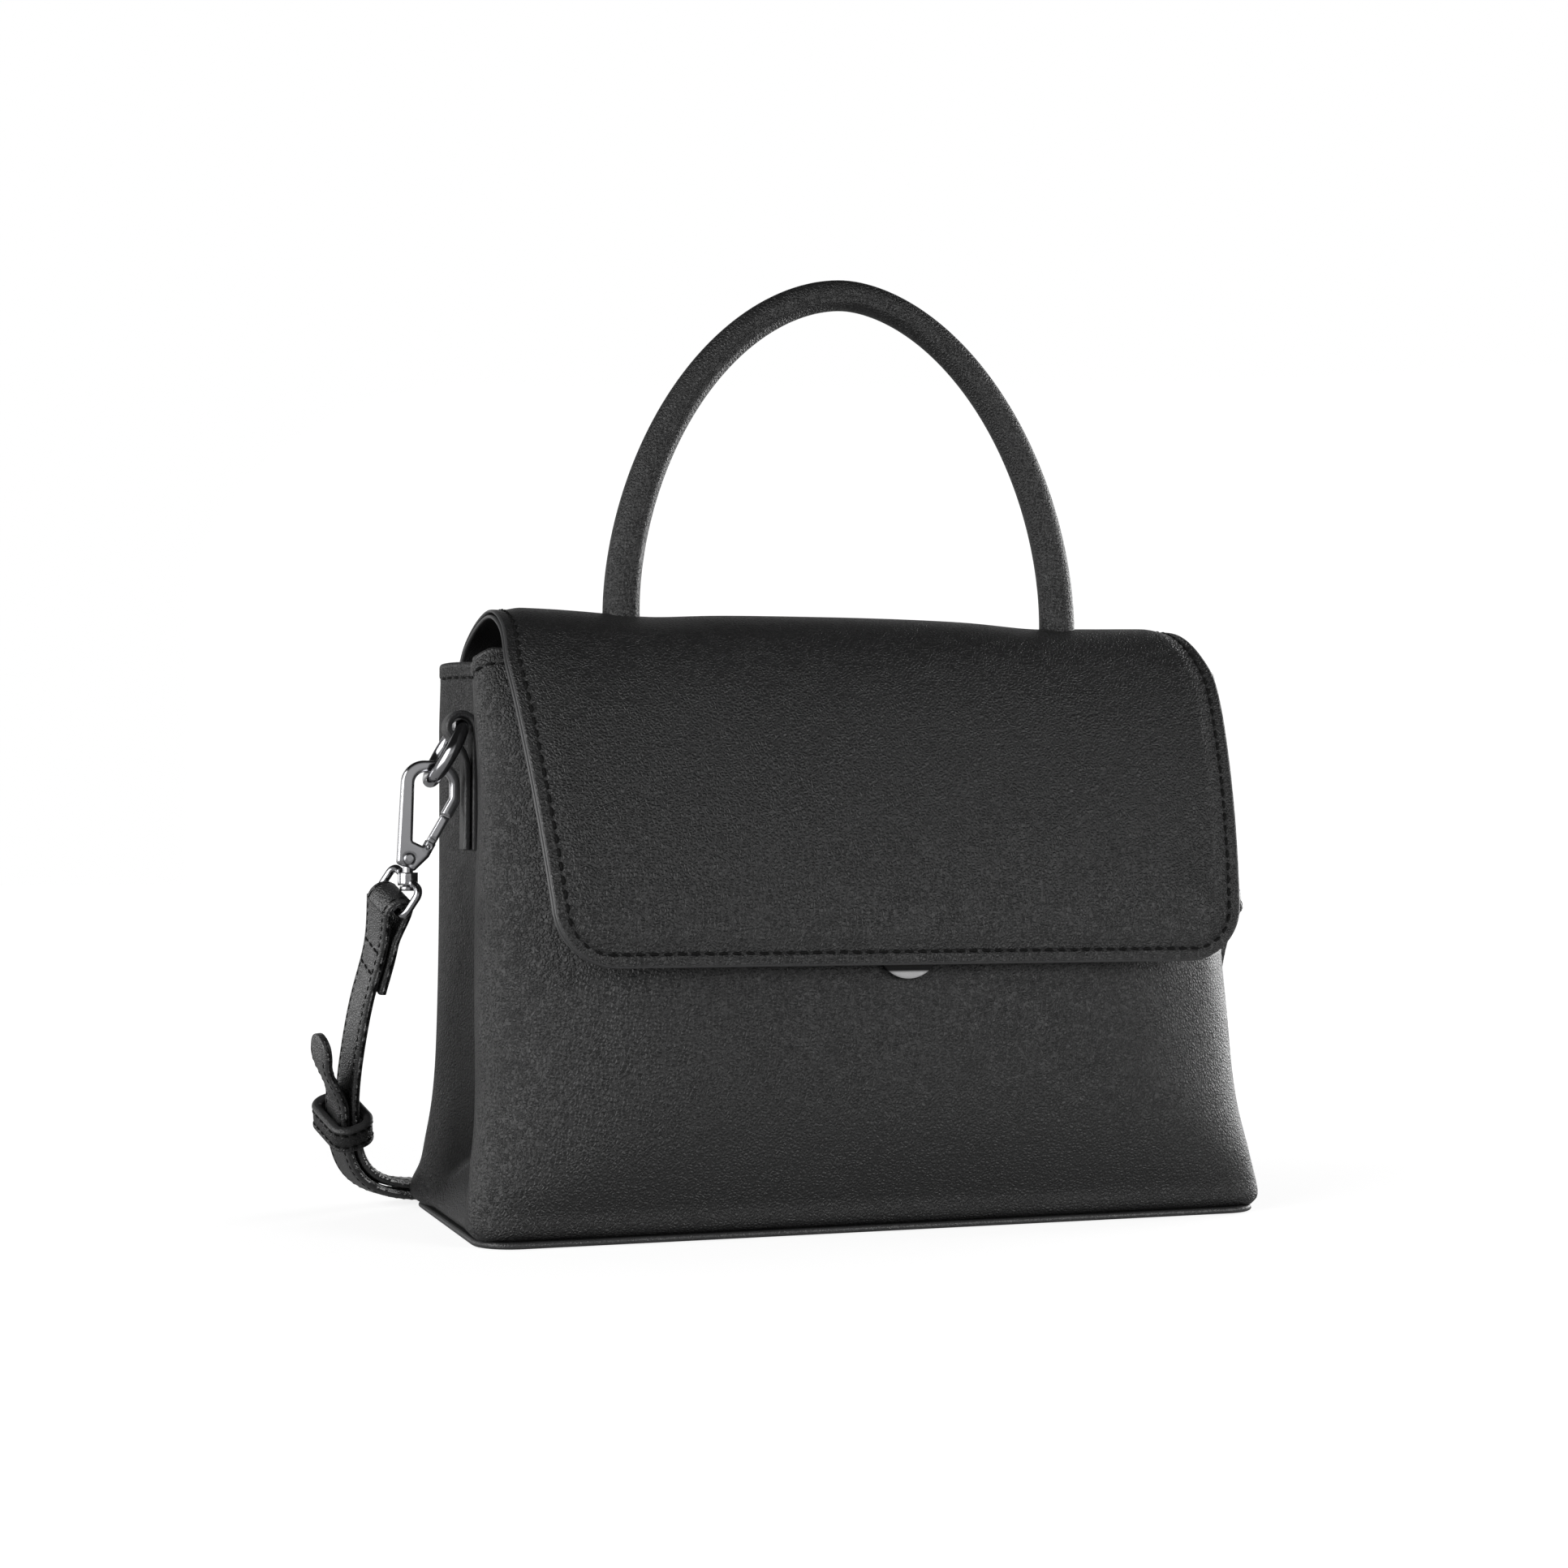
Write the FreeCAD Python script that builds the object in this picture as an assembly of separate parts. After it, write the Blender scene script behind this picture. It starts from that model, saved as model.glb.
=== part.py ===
import FreeCAD
import Part
import math
import os

Vector = FreeCAD.Vector
X_AXIS = Vector(1, 0, 0)
Y_AXIS = Vector(0, 1, 0)
Z_AXIS = Vector(0, 0, 1)

# Base of the bag: sole, welt round its rim, board and lining on it
base_width = 256.0
base_depth = 101.0
base_corner = 9.0
sole_thick = 2.6
sole_lip = 1.1
sole_edge_round = 0.9
welt_thick = 1.4
welt_width = 6.0
welt_lip = 0.2
board_thick = 2.0
board_gap = 0.4
base_lining_thick = 0.8

# Body panels, each a leather skin with a lining skin inside it
body_height = 172.0
leather_thick = 1.8
lining_thick = 0.7
lining_gap = 0.15
fold_depth = 9.5

# Body outline level by level, as shares of the height, the half width and the half depth:
# height, half width, front, front seam, back, back seam, inward fold of the gusset, corner power
level_shares = [
    (0.000, 1.002, 0.996, 0.85, 0.990, 0.85, 0.00, 26.0),
    (0.058, 1.012, 1.080, 0.78, 1.030, 0.80, 0.82, 13.0),
    (0.157, 0.998, 1.190, 0.68, 1.050, 0.75, 0.97, 6.0),
    (0.326, 0.988, 1.245, 0.59, 1.030, 0.68, 0.90, 3.6),
    (0.541, 0.985, 1.212, 0.56, 0.990, 0.66, 0.76, 3.0),
    (0.790, 0.984, 0.985, 0.55, 0.860, 0.62, 0.71, 3.8),
    (1.000, 0.987, 0.600, 0.47, 0.700, 0.57, 0.66, 20.0),
]
panel_point_shares = [0.0, 0.02, 0.045, 0.075, 0.115, 0.17, 0.25, 0.37, 0.5]
gusset_point_shares = [0.0, 0.09, 0.18, 0.28, 0.39, 0.5]

# Flap: two plies and a core, bent over the top from the back seam to the front edge
flap_foot_share = 0.3653
flap_stand = 8.0295
flap_rise = 17.0
flap_drop = 110.5
ply_thick = 1.6
flap_core_thick = 1.0
flap_core_gap = 0.2
flap_core_inset = 2.8
flap_crest_half = 116.4
flap_widest_half = 119.5
flap_widest_drop = 17.0
flap_edge_half = 109.6
flap_corner = 17.0
# Outer line of the flap from its back foot to its front edge: shares of the reach and of the drop
flap_line_shares = [
    (0.000, 0.125), (0.0223, 0.0769), (0.0600, 0.0460), (0.1382, 0.0190), (0.2495, 0.0045), (0.3609, 0.000),
    (0.4907, 0.018), (0.6020, 0.0706), (0.6948, 0.1575), (0.8154, 0.360), (0.9045, 0.5765), (0.9638, 0.769),
    (0.9935, 0.914), (1.000, 1.000),
]
seam_strip_height = 22.0
seam_strip_thick = 1.8
seam_strip_margin = 14.0
seam_gap = 0.3

# Lock: polished disc with a magnet in its back, and a magnet between the flap's plies
lock_diameter = 20.6
lock_thick = 2.0
lock_edge_round = 0.6
lock_show = 4.6
magnet_diameter = 11.0
magnet_thick = 1.2
magnet_rise = 3.5

# Handle: arch of leather over a rope core, hinged on leather tails in the flap's slits
handle_half_span = 75.8
handle_rise = 106.5
handle_depth = -8.5
handle_power_share = 1.85
handle_foot_radius = 5.75
handle_top_radius = 5.0
core_share = 0.66
pivot_radius = 4.0
pivot_gap = 0.35
bead_radius = 1.7
bead_gap = 0.3
tail_width = 7.0
tail_thick = 1.6
slit_gap = 0.4
tail_patch_width = 34.0
tail_patch_depth = 24.0
tail_patch_thick = 1.4
tilt_limit = 35.0
tilt_spare = 26.0

# Side tab: leather strip folded round the ring
tab_width = 8.5
tab_thick = 2.4
tab_low = 117.0
tab_loop_height = 155.6
tab_join_drop = 13.5
tab_hole_radius = 3.0
tab_wrap = 215.0
tab_seat_gap = 0.2

# Ring, hanging outwards from the tab
ring_outer = 24.0
ring_wire = 4.4
ring_lean = 29.0

# Snap hook: flat frame with a sprung gate and a swivel post
hook_width = 19.6
hook_length = 34.6
hook_thick = 3.6
hook_edge_round = 0.9
gate_edge_round = 0.6
# Corners as shares of the width and the length, with the corner radius as a share of the width
hook_outline_shares = [
    (-0.133, 0.043, 0.06), (-0.051, 0.971, 0.36), (0.862, 0.971, 0.38),
    (0.867, 0.592, 0.15), (0.367, 0.098, 0.05), (0.133, -0.029, 0.05),
]
hook_window_shares = [
    (0.112, 0.243, 0.03), (0.138, 0.867, 0.19), (0.709, 0.867, 0.21),
    (0.709, 0.636, 0.10), (0.276, 0.199, 0.03),
]
hook_ring_seat_shares = (0.398, 0.790)
gate_low_shares = (0.321, 0.149)
gate_high_shares = (0.788, 0.614)
gate_width = 2.8
gate_thick = 3.0
gate_reach = 12.5
gate_pivot_reach = 1.6
gate_tongue_thick = 1.8
gate_tongue_radius = 1.4
gate_tongue_reach = 4.6
gate_gap = 0.4
gate_pin_radius = 0.6
pin_gap = 0.1
post_offset_share = 0.046
rivet_shares = (0.056, 0.084)
rivet_radius = 1.7
rivet_stand = 0.35
post_radius = 1.6
post_head_radius = 2.5
post_head_thick = 1.4
post_gap = 0.3

# Swivel eye: boss on the post with an oval wire loop for the strap
boss_radius = 3.1
boss_height = 4.0
swivel_room = 3.7
eye_span = 16.8
eye_height = 9.8
eye_wire_radius = 1.25
eye_corner = 2.6
eye_lean = (0.50, -0.30, 0.81)

# Shoulder strap: hangs back from the eye, round the rear corner, and lies folded behind the bag
strap_width = 13.0
strap_thick = 3.2
strap_layer_gap = 0.3
strap_hole_gap = 0.9
strap_turn = (-0.25, 0.968, 0.0)
strap_swing = 11.0
strap_back_share = 1.2554
strap_back_tab = 30.0
strap_lap_share = 0.45
# Route of the hanging part from the eye: shares of the swing outwards, the way back and the fall
strap_route_shares = [
    (0.36, 0.104, 0.127), (0.68, 0.227, 0.287), (0.92, 0.353, 0.452), (1.01, 0.487, 0.621),
    (0.80, 0.645, 0.792), (0.17, 0.779, 0.912), (-0.78, 0.890, 0.972), (-1.98, 0.975, 0.995),
    (-3.28, 1.000, 1.000),
]
tip_place_share = 0.37
tip_flare = 7.0
keeper_place_share = 0.556
tip_round_shares = [(0.0, 1.0), (0.5, 0.86), (0.85, 0.53), (1.0, 0.2)]
keeper_length = 7.6
keeper_wall = 1.8
keeper_gap = 0.85
# Folds behind the bag: half spans of the two turns, their height, and the rise over the lower layers
fold_left_reach = 70.0
fold_right_reach = 100.0
fold_turn_height = 8.4
fold_ramp = 28.0
fold_shoulder = 26.0
fold_ease = 20.0
fold_entry = 6.0

# Buckle that joins the two parts of the strap
buckle_length = 15.5
buckle_wire_radius = 1.3
buckle_side_gap = 1.2
buckle_corner = 2.6
buckle_heel_place = 105.5
buckle_height = 7.0
chape_thick = 1.4
chape_gap = 0.25
prong_width = 2.2
prong_thick = 1.4
prong_gap = 0.15
prong_eye_wall = 1.0
prong_slot_gap = 0.6
tongue_entry = 1.0
tongue_exit = 1.0
tongue_lift = 4.1
tongue_ease = 8.0

# Overrun of every cut, and the distance under which two points are one
over = 1.0
touching = 0.001

half_width = base_width / 2
half_depth = base_depth / 2
body_floor = sole_thick + welt_thick
body_top = body_floor + body_height
flap_thick = 2 * ply_thick + flap_core_thick
flap_foot_depth = base_depth * flap_foot_share
# The flap's edge stands off the fullest part of the front panel
fullest_share = max(level[2] for level in level_shares)
flap_reach = flap_foot_depth + half_depth * fullest_share + flap_stand
flap_top_height = body_top + flap_rise
lock_low_point = flap_top_height - flap_drop - lock_show
strap_back = half_depth * strap_back_share


def export(name, shape):
    shape.exportStep("parts/" + name + ".step")


def mirrored(shape):
    return shape.mirror(Vector(0, 0, 0), X_AXIS)


def tight_box(shape):
    return shape.optimalBoundingBox(False, False)


def axis_cylinder(centre, axis, radius, length):
    start = centre - axis * (length / 2)
    return Part.makeCylinder(radius, length, start, axis)


def centred_box(centre, size_x, size_y, size_z):
    corner = centre - Vector(size_x / 2, size_y / 2, size_z / 2)
    return Part.makeBox(size_x, size_y, size_z, corner)


def framed(shape, origin, along_x, along_y, along_z):
    turn = FreeCAD.Rotation(along_x, along_y, along_z, "ZXY")
    shape.Placement = FreeCAD.Placement(origin, turn)
    return shape


def corner_arc(before, corner, after, radius):
    inward = (before - corner).normalize()
    outward = (after - corner).normalize()
    half_turn = math.acos(max(-1.0, min(1.0, inward.dot(outward)))) / 2
    reach = radius / math.tan(half_turn)
    middle = corner + (inward + outward).normalize() * (radius / math.sin(half_turn) - radius)
    return corner + inward * reach, middle, corner + outward * reach


def rounded_wire(corners):
    # Closed outline from (point, radius) corners: straight sides joined by tangent arcs
    count = len(corners)
    arcs = []
    for i in range(count):
        point, radius = corners[i]
        arcs.append(corner_arc(corners[i - 1][0], point, corners[(i + 1) % count][0], radius))
    edges = []
    for i in range(count):
        start, middle, end = arcs[i]
        edges.append(Part.Arc(start, middle, end).toShape())
        edges.append(Part.LineSegment(end, arcs[(i + 1) % count][0]).toShape())
    return Part.Wire(edges)


def rounded_plate(size_x, size_y, corner, low, thick):
    x, y = size_x / 2, size_y / 2
    corners = [(Vector(-x, -y, low), corner), (Vector(x, -y, low), corner),
               (Vector(x, y, low), corner), (Vector(-x, y, low), corner)]
    return Part.Face(rounded_wire(corners)).extrude(Vector(0, 0, thick))


def spline(points, parameters):
    curve = Part.BSplineCurve()
    curve.interpolate(Points=points, Parameters=parameters)
    return curve.toShape()


def band_wire(outer, inner, parameters):
    # Closed section of a skin: outer curve, end line, inner curve and end line
    edges = [spline(outer, parameters), Part.LineSegment(outer[-1], inner[-1]).toShape()]
    back_parameters = [1.0 - p for p in reversed(parameters)]
    edges.append(spline(list(reversed(inner)), back_parameters))
    edges.append(Part.LineSegment(inner[0], outer[0]).toShape())
    return Part.Wire(edges)


def both_halves(shares):
    return shares + [1.0 - s for s in reversed(shares[:-1])]


panel_parameters = both_halves(panel_point_shares)
gusset_parameters = both_halves(gusset_point_shares)
FINE_STEPS = 400


def spaced(points, parameters):
    # Points at the given shares of the length of a finely stepped curve, with the direction there
    lengths = [0.0]
    for a, b in zip(points, points[1:]):
        lengths.append(lengths[-1] + (b - a).Length)
    picked = []
    i = 0
    for share in parameters:
        target = share * lengths[-1]
        while i < len(points) - 2 and lengths[i + 1] < target:
            i += 1
        part = (target - lengths[i]) / (lengths[i + 1] - lengths[i])
        step = points[i + 1] - points[i]
        picked.append((points[i] + step * part, step.normalize()))
    return picked


def panel_section(level, facing, parameters):
    # Front (facing -1) or back (+1) panel at one level: a power curve bulging between its two seams
    height, wide, front, front_seam, back, back_seam, fold, power = level
    x_reach = half_width * wide
    seam = half_depth * (front_seam if facing < 0 else back_seam)
    bulge = half_depth * (front if facing < 0 else back) - seam
    z = body_floor + body_height * height
    points = []
    for i in range(FINE_STEPS + 1):
        turn = math.pi * i / FINE_STEPS
        cosine = math.cos(turn)
        x = facing * math.copysign(x_reach * abs(cosine) ** (2 / power), cosine)
        y = facing * (seam + bulge * math.sin(turn))
        points.append(Vector(x, y, z))
    return spaced(points, parameters)


def gusset_section(level, side, parameters):
    # Side gusset at one level: runs from seam to seam, folded inwards by a squared cosine
    height, wide, front, front_seam, back, back_seam, fold, power = level
    z = body_floor + body_height * height
    start, end = -half_depth * front_seam, half_depth * back_seam
    points = []
    for i in range(FINE_STEPS + 1):
        across = -1 + 2 * i / FINE_STEPS
        y = (start + end) / 2 + side * across * (end - start) / 2
        inwards = fold_depth * fold * math.cos(across * math.pi / 2) ** 2
        points.append(Vector(side * (half_width * wide - inwards), y, z))
    return spaced(points, parameters)


def skin(section, which, parameters, outside, inside):
    # Solid between two offsets of a panel, lofted through all levels
    wires = []
    for level in level_shares:
        picked = section(level, which, parameters)
        inwards = [Vector(-d.y, d.x, 0) for p, d in picked]
        inwards[0] = Vector(round(inwards[0].x), 0, 0)
        inwards[-1] = Vector(round(inwards[-1].x), 0, 0)
        outer = [p + n * outside for (p, d), n in zip(picked, inwards)]
        inner = [p + n * inside for (p, d), n in zip(picked, inwards)]
        wires.append(band_wire(outer, inner, parameters))
    return Part.makeLoft(wires, True, False)


def build_base():
    sole = rounded_plate(base_width + 2 * sole_lip, base_depth + 2 * sole_lip, base_corner, 0, sole_thick)
    rim = [e for e in sole.Edges if abs(e.BoundBox.ZLength) < sole_edge_round]
    export("base_panel", sole.makeFillet(sole_edge_round, rim))
    welt_x, welt_y = base_width + 2 * welt_lip, base_depth + 2 * welt_lip
    welt = rounded_plate(welt_x, welt_y, base_corner, sole_thick, welt_thick)
    inner_x, inner_y = welt_x - 2 * welt_width, welt_y - 2 * welt_width
    inner_corner = base_corner - welt_width / 2
    export("base_welt", welt.cut(rounded_plate(inner_x, inner_y, inner_corner, sole_thick, welt_thick)))
    board_x, board_y = inner_x - 2 * board_gap, inner_y - 2 * board_gap
    export("base_board", rounded_plate(board_x, board_y, inner_corner, sole_thick, board_thick))
    lining_low = sole_thick + board_thick
    export("lining_base", rounded_plate(board_x, board_y, inner_corner, lining_low, base_lining_thick))


def build_body():
    walls = [("front", panel_section, -1, panel_parameters), ("back", panel_section, 1, panel_parameters),
             ("left", gusset_section, -1, gusset_parameters), ("right", gusset_section, 1, gusset_parameters)]
    solids = {}
    for name, section, which, parameters in walls:
        node = name + "_panel" if section is panel_section else "gusset_" + name
        solids[name] = skin(section, which, parameters, 0, leather_thick)
        export(node, solids[name])
        lining_face = leather_thick + lining_gap
        export("lining_" + name, skin(section, which, parameters, lining_face, lining_face + lining_thick))
    return solids


def build_seam_strip():
    # Strip of the flap's leather sewn to the outside of the back panel, just under the top
    wrap = skin(panel_section, 1, panel_parameters, -seam_gap - seam_strip_thick, -seam_gap)
    size_x = 2 * (half_width - seam_strip_margin)
    centre = Vector(0, half_depth, body_top - seam_strip_height / 2)
    export("flap_strip", wrap.common(centred_box(centre, size_x, base_depth, seam_strip_height)))


def flap_line(offset):
    points = []
    for reach, drop in flap_line_shares:
        points.append(Vector(0, flap_foot_depth - flap_reach * reach, flap_top_height - flap_drop * drop))
    lengths = [0.0]
    for a, b in zip(points, points[1:]):
        lengths.append(lengths[-1] + (b - a).Length)
    parameters = [length / lengths[-1] for length in lengths]
    curve = Part.BSplineCurve()
    curve.interpolate(Points=points, Parameters=parameters)
    inner = []
    for p in parameters:
        along = curve.tangent(p)[0]
        inner.append(curve.value(p) + Vector(0, -along.z, along.y) * offset)
    return inner, parameters


def flap_band(outside, inside, half):
    outer, parameters = flap_line(outside)
    inner, parameters = flap_line(inside)
    face = Part.Face(band_wire(outer, inner, parameters))
    face.translate(Vector(-half, 0, 0))
    return face.extrude(Vector(2 * half, 0, 0))


def flap_outline(inset):
    # Front outline of the flap, as a prism through its whole depth
    high = flap_top_height + over
    wide = flap_top_height - flap_widest_drop
    low = flap_top_height - flap_drop + inset
    corner = flap_corner - inset / 2
    near = flap_foot_depth - flap_reach - over
    crest, widest, edge = flap_crest_half - inset, flap_widest_half - inset, flap_edge_half - inset
    side = [(crest, high, over), (widest, wide, flap_corner), (edge, low, corner)]
    corners = [(Vector(x, near, z), r) for x, z, r in side]
    corners += [(Vector(-x, near, z), r) for x, z, r in reversed(side)]
    return Part.Face(rounded_wire(corners)).extrude(Vector(0, flap_reach + 2 * over, 0))


crest_share = min(drop for reach, drop in flap_line_shares)
handle_floor = flap_top_height - flap_drop * crest_share
pivot_height = handle_floor + pivot_gap + pivot_radius


def foot_point(side):
    return Vector(side * handle_half_span, handle_depth, pivot_height)


def build_flap():
    slits = []
    slit_x, slit_y = tail_width + 2 * slit_gap, tail_thick + 2 * slit_gap
    for side in (-1, 1):
        slits.append(centred_box(foot_point(side), slit_x, slit_y, handle_rise / 2))
    magnet_place = Vector(0, 0, lock_low_point + lock_diameter / 2 + magnet_rise)
    magnet_hole = Part.makeCylinder(magnet_diameter / 2, flap_reach, magnet_place, -Y_AXIS)
    outline = flap_outline(0)
    layers = [("flap_outer", 0, ply_thick), ("flap_lining", ply_thick + flap_core_thick, flap_thick)]
    for name, outside, inside in layers:
        ply = flap_band(outside, inside, half_width).common(outline)
        for slit in slits:
            ply = ply.cut(slit)
        export(name, ply)
    core_face, core_back = ply_thick + flap_core_gap, ply_thick + flap_core_thick - flap_core_gap
    between = flap_band(core_face, core_back, half_width)
    core = between.common(flap_outline(flap_core_inset))
    foot = Vector(0, flap_foot_depth, flap_top_height)
    core = core.cut(centred_box(foot, base_width, 2 * flap_core_inset, flap_drop))
    for slit in slits:
        core = core.cut(slit)
    export("flap_magnet", between.common(magnet_hole))
    export("flap_core", core.cut(magnet_hole))


def build_lock(front):
    # The disc stands on the foremost point of the panel behind it
    middle = lock_low_point + lock_diameter / 2
    reach = axis_cylinder(Vector(0, -half_depth, middle), Y_AXIS, lock_diameter / 2, base_depth)
    seat = tight_box(front.common(reach)).YMin
    disc = Part.makeCylinder(lock_diameter / 2, lock_thick, Vector(0, seat, middle), -Y_AXIS)
    face_rim = [e for e in disc.Edges if e.BoundBox.YMax < seat - lock_thick / 2]
    disc = disc.makeFillet(lock_edge_round, face_rim)
    magnet_place = Vector(0, seat, middle + magnet_rise)
    magnet = Part.makeCylinder(magnet_diameter / 2, magnet_thick, magnet_place, -Y_AXIS)
    export("lock_disc", disc.cut(magnet))
    export("lock_magnet", magnet)


HANDLE_STATIONS = 14


def handle_tube(share):
    # Arch as a power curve, round in section, a little slimmer at the top
    rings = []
    for i in range(HANDLE_STATIONS + 1):
        turn = math.pi * i / HANDLE_STATIONS
        cosine, sine = math.cos(turn), math.sin(turn)
        power = 2 / handle_power_share
        x = -math.copysign(handle_half_span * abs(cosine) ** power, cosine)
        z = handle_floor + handle_rise * max(sine, 0.0) ** power
        if i in (0, HANDLE_STATIONS):
            z = handle_floor
        slope_x = handle_half_span * max(sine, 0.0) ** (2 - power)
        slope_z = math.copysign(handle_rise * abs(cosine) ** (2 - power), cosine)
        along = Vector(slope_x, 0, slope_z)
        radius = handle_foot_radius + (handle_top_radius - handle_foot_radius) * sine
        ring = Part.Circle(Vector(x, handle_depth, z), along, radius * share).toShape()
        rings.append(Part.Wire([ring]))
    return Part.makeLoft(rings, True, False)


def foot_cuts(side):
    # Room at a foot: a round nose about the pivot, a socket for the bead and a mouth for the tail's swing
    pivot = foot_point(side)
    block = 4 * handle_foot_radius
    below = centred_box(pivot - Z_AXIS * block / 2, block, block, block)
    nose = below.cut(axis_cylinder(pivot, X_AXIS, pivot_radius, block))
    width = tail_width + 2 * bead_gap
    socket = axis_cylinder(pivot, X_AXIS, bead_radius + bead_gap, width)
    angle = math.radians(tilt_limit + tilt_spare)
    depth = 2 * pivot_radius
    spread = depth * math.tan(angle)
    start = pivot - X_AXIS * width / 2
    corners = [start, start + Vector(0, spread, -depth), start + Vector(0, -spread, -depth), start]
    mouth = Part.Face(Part.makePolygon(corners)).extrude(X_AXIS * width)
    return nose.fuse(socket).fuse(mouth)


def build_handle():
    cover, core = handle_tube(1.0), handle_tube(core_share)
    cover = cover.cut(core)
    for side in (-1, 1):
        cuts = foot_cuts(side)
        cover, core = cover.cut(cuts), core.cut(cuts)
    export("handle_cover", cover)
    export("handle_core", core)
    patch_band = flap_band(flap_thick, flap_thick + tail_patch_thick, half_width)
    for side, name in ((-1, "handle_tail_left"), (1, "handle_tail_right")):
        pivot = foot_point(side)
        patch = patch_band.common(centred_box(pivot, tail_patch_width, tail_patch_depth, handle_rise))
        height = pivot_height - tight_box(patch).ZMin
        tail = centred_box(pivot - Z_AXIS * height / 2, tail_width, tail_thick, height)
        tail = tail.cut(patch_band)
        tail = max(tail.Solids, key=lambda solid: solid.CenterOfMass.z)
        bead = axis_cylinder(pivot, X_AXIS, bead_radius, tail_width)
        export(name, tail.fuse(bead).fuse(patch).removeSplitter())


def slanted_bar(start, along, first, last, width, thick):
    # Flat bar in the hook's plane, from one reach to another along a direction
    bar = Part.makeBox(last - first, thick, width, Vector(first, -thick / 2, -width / 2))
    return framed(bar, start, along, Y_AXIS, along.cross(Y_AXIS))


def flat_outline(origin, table, width, length, thick):
    corners = []
    for x, z, r in table:
        corners.append((origin + Vector(width * x, -thick / 2, length * z), width * r))
    return Part.Face(rounded_wire(corners)).extrude(Y_AXIS * thick)


def tab_solid(gusset):
    # Strip sewn into the fold of the gusset, turned over at the top round the ring
    middle = (tab_low + tab_loop_height) / 2
    probe = centred_box(Vector(-half_width, 0, middle), base_depth, tab_width, tab_loop_height - tab_low)
    seat = tight_box(gusset.common(probe)).XMin - tab_seat_gap
    outer = tab_hole_radius + tab_thick
    loop = Vector(seat - outer, 0, tab_loop_height)
    wrap = math.radians(tab_wrap)
    top = loop + Vector(outer * math.cos(wrap / 2), 0, outer * math.sin(wrap / 2))
    side = loop + Vector(outer * math.cos(wrap), 0, outer * math.sin(wrap))
    layers = seat - 2 * tab_thick
    join = Vector(layers, 0, tab_loop_height - tab_join_drop)
    start, turn = Vector(seat, 0, tab_low), Vector(seat, 0, tab_loop_height)
    end = Vector(layers, 0, tab_low)
    edges = [Part.LineSegment(start, turn).toShape(), Part.Arc(turn, top, side).toShape()]
    for a, b in ((side, join), (join, end), (end, start)):
        edges.append(Part.LineSegment(a, b).toShape())
    face = Part.Face(Part.Wire(edges))
    face.translate(-Y_AXIS * tab_width / 2)
    hole = axis_cylinder(loop, Y_AXIS, tab_hole_radius, tab_width + 2 * over)
    return face.extrude(Y_AXIS * tab_width).cut(hole), loop


def ring_solid(loop):
    # Ring through the tab's loop, leaning outwards; also the middle of its lowest wire
    lean = math.radians(ring_lean)
    down = Vector(-math.sin(lean), 0, -math.cos(lean))
    mean = (ring_outer - ring_wire) / 2
    sag = mean - math.sqrt(mean ** 2 - (tab_width / 2) ** 2)
    centre = loop + down * (mean - sag / 2)
    return Part.makeTorus(mean, ring_wire / 2, centre, down.cross(Y_AXIS)), centre + down * mean


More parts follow.
